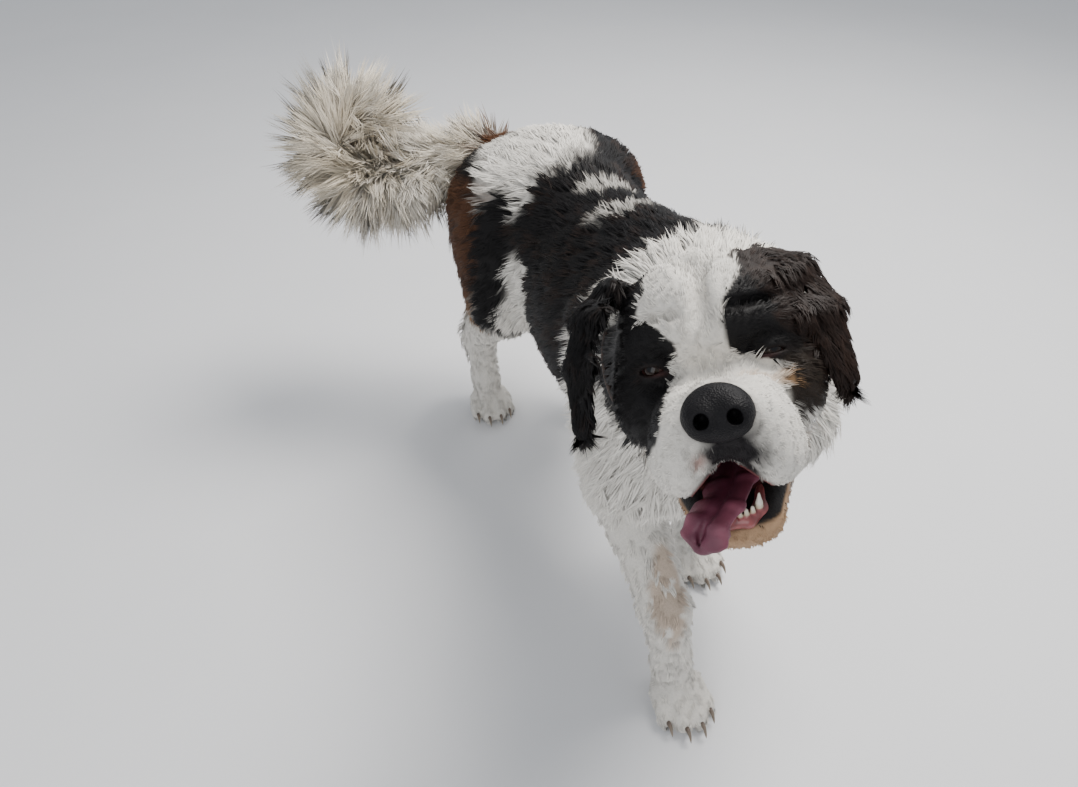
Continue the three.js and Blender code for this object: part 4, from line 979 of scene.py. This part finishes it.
FLESH_NODES = ["head", "lower_jaw", "ear_right", "ear_left", "neck", "chest", "hindquarters",
               "tail_root", "tail_plume"]
FLESH_NODES += [f"{end}_{part}_{side}"
                for end in ("fore", "hind") for part in ("leg", "paw") for side in ("right", "left")]
pieces = []


def add_piece(made, finish, slot, *nodes):
    """Keeps a piece with its finish and slot, in place of the solids' nodes"""
    made.data.materials.append(finish)
    if nodes:
        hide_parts(*nodes)
    pieces.append((made, slot))


skin_finish = painted("skin_finish", rough=(0.55, 0.7), vary=(0.7, 1.15), scale=260, spec=0.16,
                      bump_scale=420, bump_depth=0.0016)
add_piece(skin, skin_finish, "coat_white", *FLESH_NODES)

# The coat
coat_finish = painted("coat_finish", rough=(0.5, 0.68), vary=(0.88, 1.1), scale=300, spec=0.16)
AMOUNT = 1.0


def split(quads):
    return np.concatenate([quads[:, :3], quads[:, [0, 2, 3]]])


head_tris, body_tris = split(head_quads), split(body_quads)
head_mid = head_verts[head_tris].mean(1)
body_mid = body_verts[body_tris].mean(1)
head_side = collar_side(from_head(head_mid))
body_side = collar_side(body_mid)
ear_tri = np.zeros(len(head_mid), bool)
for s in (-1, 1):
    ear_tri |= (ear_field(head_mid, s, 4) < 6) & (head_mid[:, 0] * s > (74 if s > 0 else 88))
face_tri = ~ear_tri & (head_mid[:, 1] < 26)
rest_tri = ~ear_tri & ~face_tri & (head_side > -4)


def back_coat(q, n):
    """Behind the face, where the head's coat grows into the neck's"""
    lie, length, high, width, stand, bare = head_coat(q, n)
    p = from_head(q)
    t = step(80, 20, collar_side(p))
    away = (-NECK_WAY + vec(0, 0, -0.5)) @ HEAD_TURN
    tall = 36 - 22 * painted_ear_shadow(p)
    length, high, width = length + (76 - length) * t, high + (tall - high) * t, width + (2.6 - width) * t
    return unit(mix(lie, away, t)), length, high, width, stand, bare


def back_colour(q):
    p = from_head(q)
    t = step(66, 34, collar_side(p))
    # The shadow under the right ear painted black over the head's and neck's colours
    return mix(mix(head_colour(q), body_colour(p), t), BLACK, painted_ear_shadow(p))


HEAD = head_verts, head_tris, dict(field=head_shell, turn=from_head)
BODY = body_verts, body_tris, dict(field=skin_body, plan=body_coat)


def add_coat(name, slot, shell, keep, count, weight=1.0, **how):
    """One piece of the coat: count tufts on the triangles to keep of the head's or the body's shell"""
    verts, tris, shared = shell
    roots = spread_roots(verts, tris, np.where(keep, weight, 0.0), int(count * AMOUNT))
    add_piece(tufts(name, roots=roots, **shared, **how), coat_finish, slot)


add_coat("coat_face", "coat_white", HEAD, face_tri, 3300, plan=head_coat, colour=head_colour,
         chart=head_chart, per=6, radius=3.2, clump=0.45, jitter=0.1)
add_coat("coat_skull", "coat_black", HEAD, rest_tri, 2100, plan=back_coat, colour=back_colour,
         chart=head_chart, per=8, radius=7.0, clump=0.6, rise=0.55)
add_coat("coat_ears", "coat_black", HEAD, ear_tri, 1600, plan=head_coat, colour=head_colour,
         chart=ear_chart, per=8, radius=5.0, clump=0.6)

tail_tri = is_tail(body_mid)
leg_tri = ~tail_tri & (body_mid[:, 2] < 400)
neck_tri = ~tail_tri & ~leg_tri & (body_side < 4) & ((body_mid[:, 1] < -250) | (body_side > -150))
chest_tri = ~tail_tri & ~leg_tri & ~neck_tri & (body_side < 4) & (body_mid[:, 1] < 110)
hips_tri = ~tail_tri & ~leg_tri & ~neck_tri & (body_mid[:, 1] >= 110)
neck_chart = cylinder_chart(NECK_BASE, NECK_WAY, -160, 260)
trunk_chart = cylinder_chart((0, 0, 560), (0, 1, 0), -420, 520)
add_coat("coat_neck", "coat_white", BODY, neck_tri, 1900, colour=body_colour, chart=neck_chart,
         per=10, radius=11.0, clump=0.6, jitter=0.2, rise=0.6)
for name, keep, count in (("coat_chest", chest_tri, 1700), ("coat_hips", hips_tri, 1900)):
    add_coat(name, "coat_black", BODY, keep, count, colour=body_colour, chart=trunk_chart,
             per=10, radius=10.0, clump=0.5)
fore_tri = leg_tri & (body_mid[:, 1] < 40)
denser_on_paws = np.where(body_mid[:, 2] < 90, 2.2, 1.0)
for name, keep in (("coat_fore_legs", fore_tri), ("coat_hind_legs", leg_tri & ~fore_tri)):
    add_coat(name, "coat_white", BODY, keep, 1550, denser_on_paws, colour=body_colour, chart=leg_chart,
             per=9, radius=6.0, clump=0.5, jitter=0.12)
add_coat("coat_tail", "coat_cream", BODY, tail_tri, 1880, colour=tail_colour, chart=tail_chart,
         per=10, radius=12.0, clump=0.42, jitter=0.24)


# Nose, tongue, gum and teeth
def surfaced(name, field, low, high, cell, frame_of, colour_of=None):
    verts, quads = surface(field, low, high, cell)
    made = make_mesh(name, frame_of(verts), quads)
    if colour_of is not None:
        paint(made, colour_of(verts))
    return made


def jaw_to_dog(j):
    return from_head(from_jaw(j))


nose_pad = surfaced("nose_pad", nose, (-40, -160, -56), (40, -100, 12), 1.1, from_head)
mat, tree, bsdf, _ = mottled("nose_leather", (0.004, 0.004, 0.005), (0.014, 0.013, 0.014), (90,), 0.5)
bsdf.inputs["Specular IOR Level"].default_value = 0.12
cells = node(tree, "ShaderNodeTexVoronoi", in_Scale=620.0)
tree.links.new(node(tree, "ShaderNodeTexCoord").outputs["Object"], cells.inputs["Vector"])
bump(tree, bsdf, cells.outputs["Distance"], 0.55, 0.0009)
add_piece(nose_pad, mat, "nose", "nose")


def tongue_colour(j):
    side = np.abs(j[:, 0] - np.interp(j[:, 1], [-118, -96, -62, -10], [-32, -12, 0, 4]))
    tint = mix(vec(0.125, 0.032, 0.055), vec(0.20, 0.055, 0.085), step(6, 22, side))
    return tint * (1 + 0.12 * noise(j, 14))[:, None]


tongue_piece = surfaced("tongue_flesh", tongue, (-95, -160, -160), (45, 30, -30), 1.8,
                        jaw_to_dog, tongue_colour)
add_piece(tongue_piece, painted("tongue_finish", rough=(0.4, 0.5), vary=(0.85, 1.15), scale=150,
                                bump_scale=900, bump_depth=0.0006), "tongue", "tongue")

INCISORS, CANINE = [-14, -8.5, -3, 3, 8.5, 14], 19


def teeth(j):
    d = chain(j, GUM, [6, 7, 6, 6, 7, 6], 4)
    for x in INCISORS:
        y = -103 + x * x * 0.02
        d = join(d, limb(j, (x, y, -68), (x, y - 1, -60.5), 2.7, 1.7), 1.5)
    fang = [(CANINE, -92, -70), (CANINE * 1.06, -95, -60), (CANINE * 1.12, -94, -51)]
    return join(d, chain(j, fang, [4.2, 3.0, 0.9], 1), 1.5)


def teeth_colour(j):
    bone = step(-66.2, -64.8, j[:, 2])
    ivory = mix(vec(0.62, 0.52, 0.36), vec(0.80, 0.75, 0.64), step(-66, -58, j[:, 2]))
    gum = vec(0.28, 0.07, 0.07) * (1 + 0.25 * noise(j, 10))[:, None]
    return mix(gum, ivory, bone)


teeth_piece = surfaced("gum_and_teeth", teeth, (-36, -116, -86), (36, -50, -46), 1.0,
                       jaw_to_dog, teeth_colour)
add_piece(teeth_piece, painted("teeth_finish", rough=(0.3, 0.3), vary=(0.9, 1.06), scale=400, spec=0.6),
          "teeth", "teeth_lower")


# Eyes
def eye_mesh(name, side):
    gaze = unit(vec(0.34 * side, -1, 0.10))
    across = unit(np.cross(gaze, (0, 0, 1)))
    up = np.cross(across, gaze)
    rings, slices = 56, 72
    verts, faces, colours = [gaze * 1.0], [], []
    for i in range(1, rings):
        a = math.pi * i / rings
        for k in range(slices):
            b = 2 * math.pi * k / slices
            verts.append(gaze * math.cos(a) + (across * math.cos(b) + up * math.sin(b)) * math.sin(a))
    verts.append(-gaze)
    verts = np.array(verts)
    angle = np.degrees(np.arccos(np.clip(verts @ gaze, -1, 1)))
    turn = np.arctan2(verts @ up, verts @ across)
    r = EYE_R - 0.15 + 0.5 * step(36, 20, angle)
    streak = 0.75 + 0.25 * np.sin(turn * 23 + 2 * np.sin(turn * 7)) * step(10, 20, angle)
    iris = mix(vec(0.018, 0.008, 0.004), vec(0.008, 0.004, 0.003), step(24, 34, angle)) * streak[:, None]
    colour = mix(iris, np.broadcast_to(vec(0.004, 0.004, 0.005), verts.shape), step(15, 12, angle))
    white = mix(vec(0.03, 0.011, 0.010), vec(0.05, 0.024, 0.021), 0.5 + 0.5 * noise(verts * 13, 9))
    colour = mix(colour, white, step(36, 40, angle))
    for k in range(slices):
        faces.append((0, 1 + k, 1 + (k + 1) % slices))
        last = 1 + (rings - 2) * slices
        faces.append((len(verts) - 1, last + (k + 1) % slices, last + k))
        for i in range(rings - 2):
            a, b = 1 + i * slices + k, 1 + i * slices + (k + 1) % slices
            faces += [(a, a + slices, b + slices), (a, b + slices, b)]
    made = make_mesh(name, from_head(eye_at(side) + verts * r[:, None]), np.array(faces))
    paint(made, colour)
    return made


eye_finish = painted("eye_finish", rough=(0.1, 0.16), vary=(0.9, 1.1), scale=900, spec=0.3)
for side, hand in ((-1, "right"), (1, "left")):
    add_piece(eye_mesh("eyeball_" + hand, side), eye_finish, "eye", "eye_" + hand)


# Claws, collar and ring
def tube(points, radii, sides, squash=1.0):
    points = np.array(points, float)
    verts, faces = [], []
    for i, p in enumerate(points):
        way = unit(points[min(i + 1, len(points) - 1)] - points[max(i - 1, 0)])
        x = unit(np.cross(way, (1, 0.01, 0.02)))
        y = np.cross(way, x)
        for k in range(sides):
            a = 2 * math.pi * k / sides
            verts.append(p + (x * math.cos(a) + y * math.sin(a) * squash) * radii[i])
    for i in range(len(points) - 1):
        for k in range(sides):
            a, b = i * sides + k, i * sides + (k + 1) % sides
            faces += [(a, b, b + sides), (a, b + sides, a + sides)]
    for k in range(1, sides - 1):
        faces.append((0, k + 1, k))
        top = (len(points) - 1) * sides
        faces.append((top, top + k, top + k + 1))
    return np.array(verts), np.array(faces)


CLAW_BASE, CLAW_TIP = vec(0.10, 0.075, 0.06), vec(0.26, 0.21, 0.16)
CLAW_STEPS, CLAW_SIDES = np.linspace(0, 1, 9), 12
claw_radii = [5.0 * (1 - t) ** 0.6 + 0.5 for t in CLAW_STEPS]
claw_verts, claw_faces, claw_count = [], [], 0
for leg in LEGS.values():
    for _, tip, r in TOES:
        start = vec(*tip) + vec(0, -r + 6, 6)
        line = [start + vec(0, -19 * t, 2.5 * math.sin(math.pi * t) - 13 * t * t) for t in CLAW_STEPS]
        v, f = tube([paw_place(leg, at) for at in line], claw_radii, CLAW_SIDES, 0.75)
        v[:, 2] = np.maximum(v[:, 2], 0.4)
        claw_faces.append(f + claw_count * len(v))
        claw_verts.append(v)
        claw_count += 1
claws = make_mesh("claws", np.concatenate(claw_verts), np.concatenate(claw_faces))
paint(claws, np.tile(mix(CLAW_BASE, CLAW_TIP, np.repeat(CLAW_STEPS, CLAW_SIDES)), (claw_count, 1)))
add_piece(claws, painted("claw_finish", rough=(0.3, 0.4), vary=(0.8, 1.2), scale=500,
                         bump_scale=700, bump_depth=0.0004), "claw")

collar_x = unit(np.cross(COLLAR_WAY, (0, 0, 1)))
collar_y = np.cross(COLLAR_WAY, collar_x)


def collar_surface(angles):
    out = np.cos(angles)[:, None] * collar_x + np.sin(angles)[:, None] * collar_y
    low, high = np.zeros(len(angles)), np.full(len(angles), 500.0)
    for _ in range(30):
        middle = (low + high) / 2
        p = COLLAR_AT + out * middle[:, None]
        inner = torso(p) < 0
        low, high = np.where(inner, middle, low), np.where(inner, high, middle)
    return COLLAR_AT + out * low[:, None], out


def closed_grid(rows, columns):
    """Faces of a grid whose rows and columns both run round"""
    i, k = (g.ravel() for g in np.meshgrid(np.arange(rows), np.arange(columns), indexing="ij"))
    row, next_row, beside = i * columns, (i + 1) % rows * columns, (k + 1) % columns
    return np.stack([row + k, row + beside, next_row + beside, next_row + k], 1)


# The band's cross-section: how far along the neck and how far out. Away from the ring it lies deeper
PROFILE = [(-13, -5), (-13, 0.2), (-12.2, 1.2), (-10.6, 1.5), (-9.6, 0.9),
           (9.6, 0.9), (10.6, 1.5), (12.2, 1.2), (13, 0.2), (13, -5)]
BAND_TURNS, BAND_SINK = 160, 9
RING_ANGLE, RING_RADIUS, RING_WIRE, RING_PROUD, RING_LOW = 2.6, 16, 2.4, 9, 6
turns = np.linspace(0, 2 * np.pi, BAND_TURNS, endpoint=False)
around, outward = collar_surface(turns)
sunk = BAND_SINK * step(0.93, 0.75, np.cos(turns - RING_ANGLE))[:, None]
band = np.stack([around + outward * (h - sunk) + COLLAR_WAY * w for w, h in PROFILE], 1)
collar = make_mesh("collar_band", band.reshape(-1, 3), closed_grid(BAND_TURNS, len(PROFILE)))
mat, tree, bsdf, _ = mottled("collar_leather", (0.010, 0.006, 0.005), (0.075, 0.040, 0.025),
                             (120, 6, 0.7), 0.5)
bump(tree, bsdf, noise_node(tree, 800, 4).outputs["Fac"], 0.5, 0.0008)
add_piece(collar, mat, "strap", "collar")

at, out = collar_surface(np.array([RING_ANGLE]))
ring_at = at[0] + out[0] * RING_PROUD - COLLAR_WAY * RING_LOW
beside = np.cross(out[0], COLLAR_WAY)
verts = []
for a in 2 * np.pi * np.arange(72) / 72:
    spoke = COLLAR_WAY * math.cos(a) + beside * math.sin(a)
    for b in 2 * np.pi * np.arange(16) / 16:
        reach = RING_RADIUS + RING_WIRE * math.cos(b)
        verts.append(ring_at + spoke * reach + out[0] * RING_WIRE * math.sin(b))
ring = make_mesh("ring_steel", verts, closed_grid(72, 16)[:, [0, 3, 2, 1]])
mat, tree, bsdf, scuff = mottled("steel", (0.25, 0.25, 0.26), (0.55, 0.55, 0.56), (200, 6, 0.7), 0.5)
bsdf.inputs["Metallic"].default_value = 1.0
tree.links.new(ranged(tree, scuff, 0.22, 0.5), bsdf.inputs["Roughness"])
add_piece(ring, mat, "steel", "collar_ring")

for piece, slot in pieces:
    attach(piece, "root")

# Floor, light and camera
bpy.ops.mesh.primitive_plane_add(size=14, location=(0, 0, 0))
floor = bpy.context.object
floor.name = "floor"
floor.data.materials.append(mottled("floor_finish", (0.74, 0.745, 0.76), (0.80, 0.80, 0.81), (2.0,), 0.85)[0])

world = bpy.data.worlds.new("sky")
bpy.context.scene.world = world
world.use_nodes = True
sky = world.node_tree.nodes["Background"].inputs
sky["Color"].default_value, sky["Strength"].default_value = (0.90, 0.94, 1.0, 1), 0.6


def area_light(name, place, target, size, power, colour=(1, 1, 1)):
    light = bpy.data.lights.new(name, "AREA")
    light.energy, light.size, light.color = power, size, colour
    made = bpy.data.objects.new(name, light)
    bpy.context.scene.collection.objects.link(made)
    made.location = place
    made.rotation_euler = (Vector(target) - Vector(place)).to_track_quat("-Z", "Y").to_euler()


area_light("sky_light", (1.3, 0.2, 3.2), (-0.1, -0.2, 0.6), 1.6, 150, (1.0, 0.97, 0.93))
area_light("front_light", (-2.4, -2.6, 2.0), (0, -0.2, 0.5), 2.4, 40)
area_light("rear_light", (2.2, 2.0, 2.4), (0, 0, 0.5), 2.0, 20)

# The camera: focal length and width of the picture in pixels, place in the dog's frame, yaw, pitch and roll
FOCAL, WIDTH, SENSOR = 800, 1078, 36
CAMERA_AT, CAMERA_TURN = (-555, -1044, 1324), (21.3, 40.2, -0.6)
cam = bpy.data.cameras.new("camera")
cam.lens, cam.sensor_width, cam.sensor_fit = FOCAL / WIDTH * SENSOR, SENSOR, "HORIZONTAL"
cam.clip_end = 50
camera = bpy.data.objects.new("camera", cam)
bpy.context.scene.collection.objects.link(camera)
yaw, pitch, roll = (math.radians(a) for a in CAMERA_TURN)
forward = Vector((math.sin(yaw) * math.cos(pitch), math.cos(yaw) * math.cos(pitch), -math.sin(pitch)))
right = Vector((math.cos(yaw), -math.sin(yaw), 0))
above = right.cross(forward)
x_axis = right * math.cos(roll) + above * math.sin(roll)
y_axis = -right * math.sin(roll) + above * math.cos(roll)
matrix = Matrix((x_axis, y_axis, -forward)).transposed().to_4x4()
matrix.translation = (Vector(CAMERA_AT) - Vector(ORIGIN)) / 1000
camera.matrix_world = matrix
bpy.context.scene.camera = camera
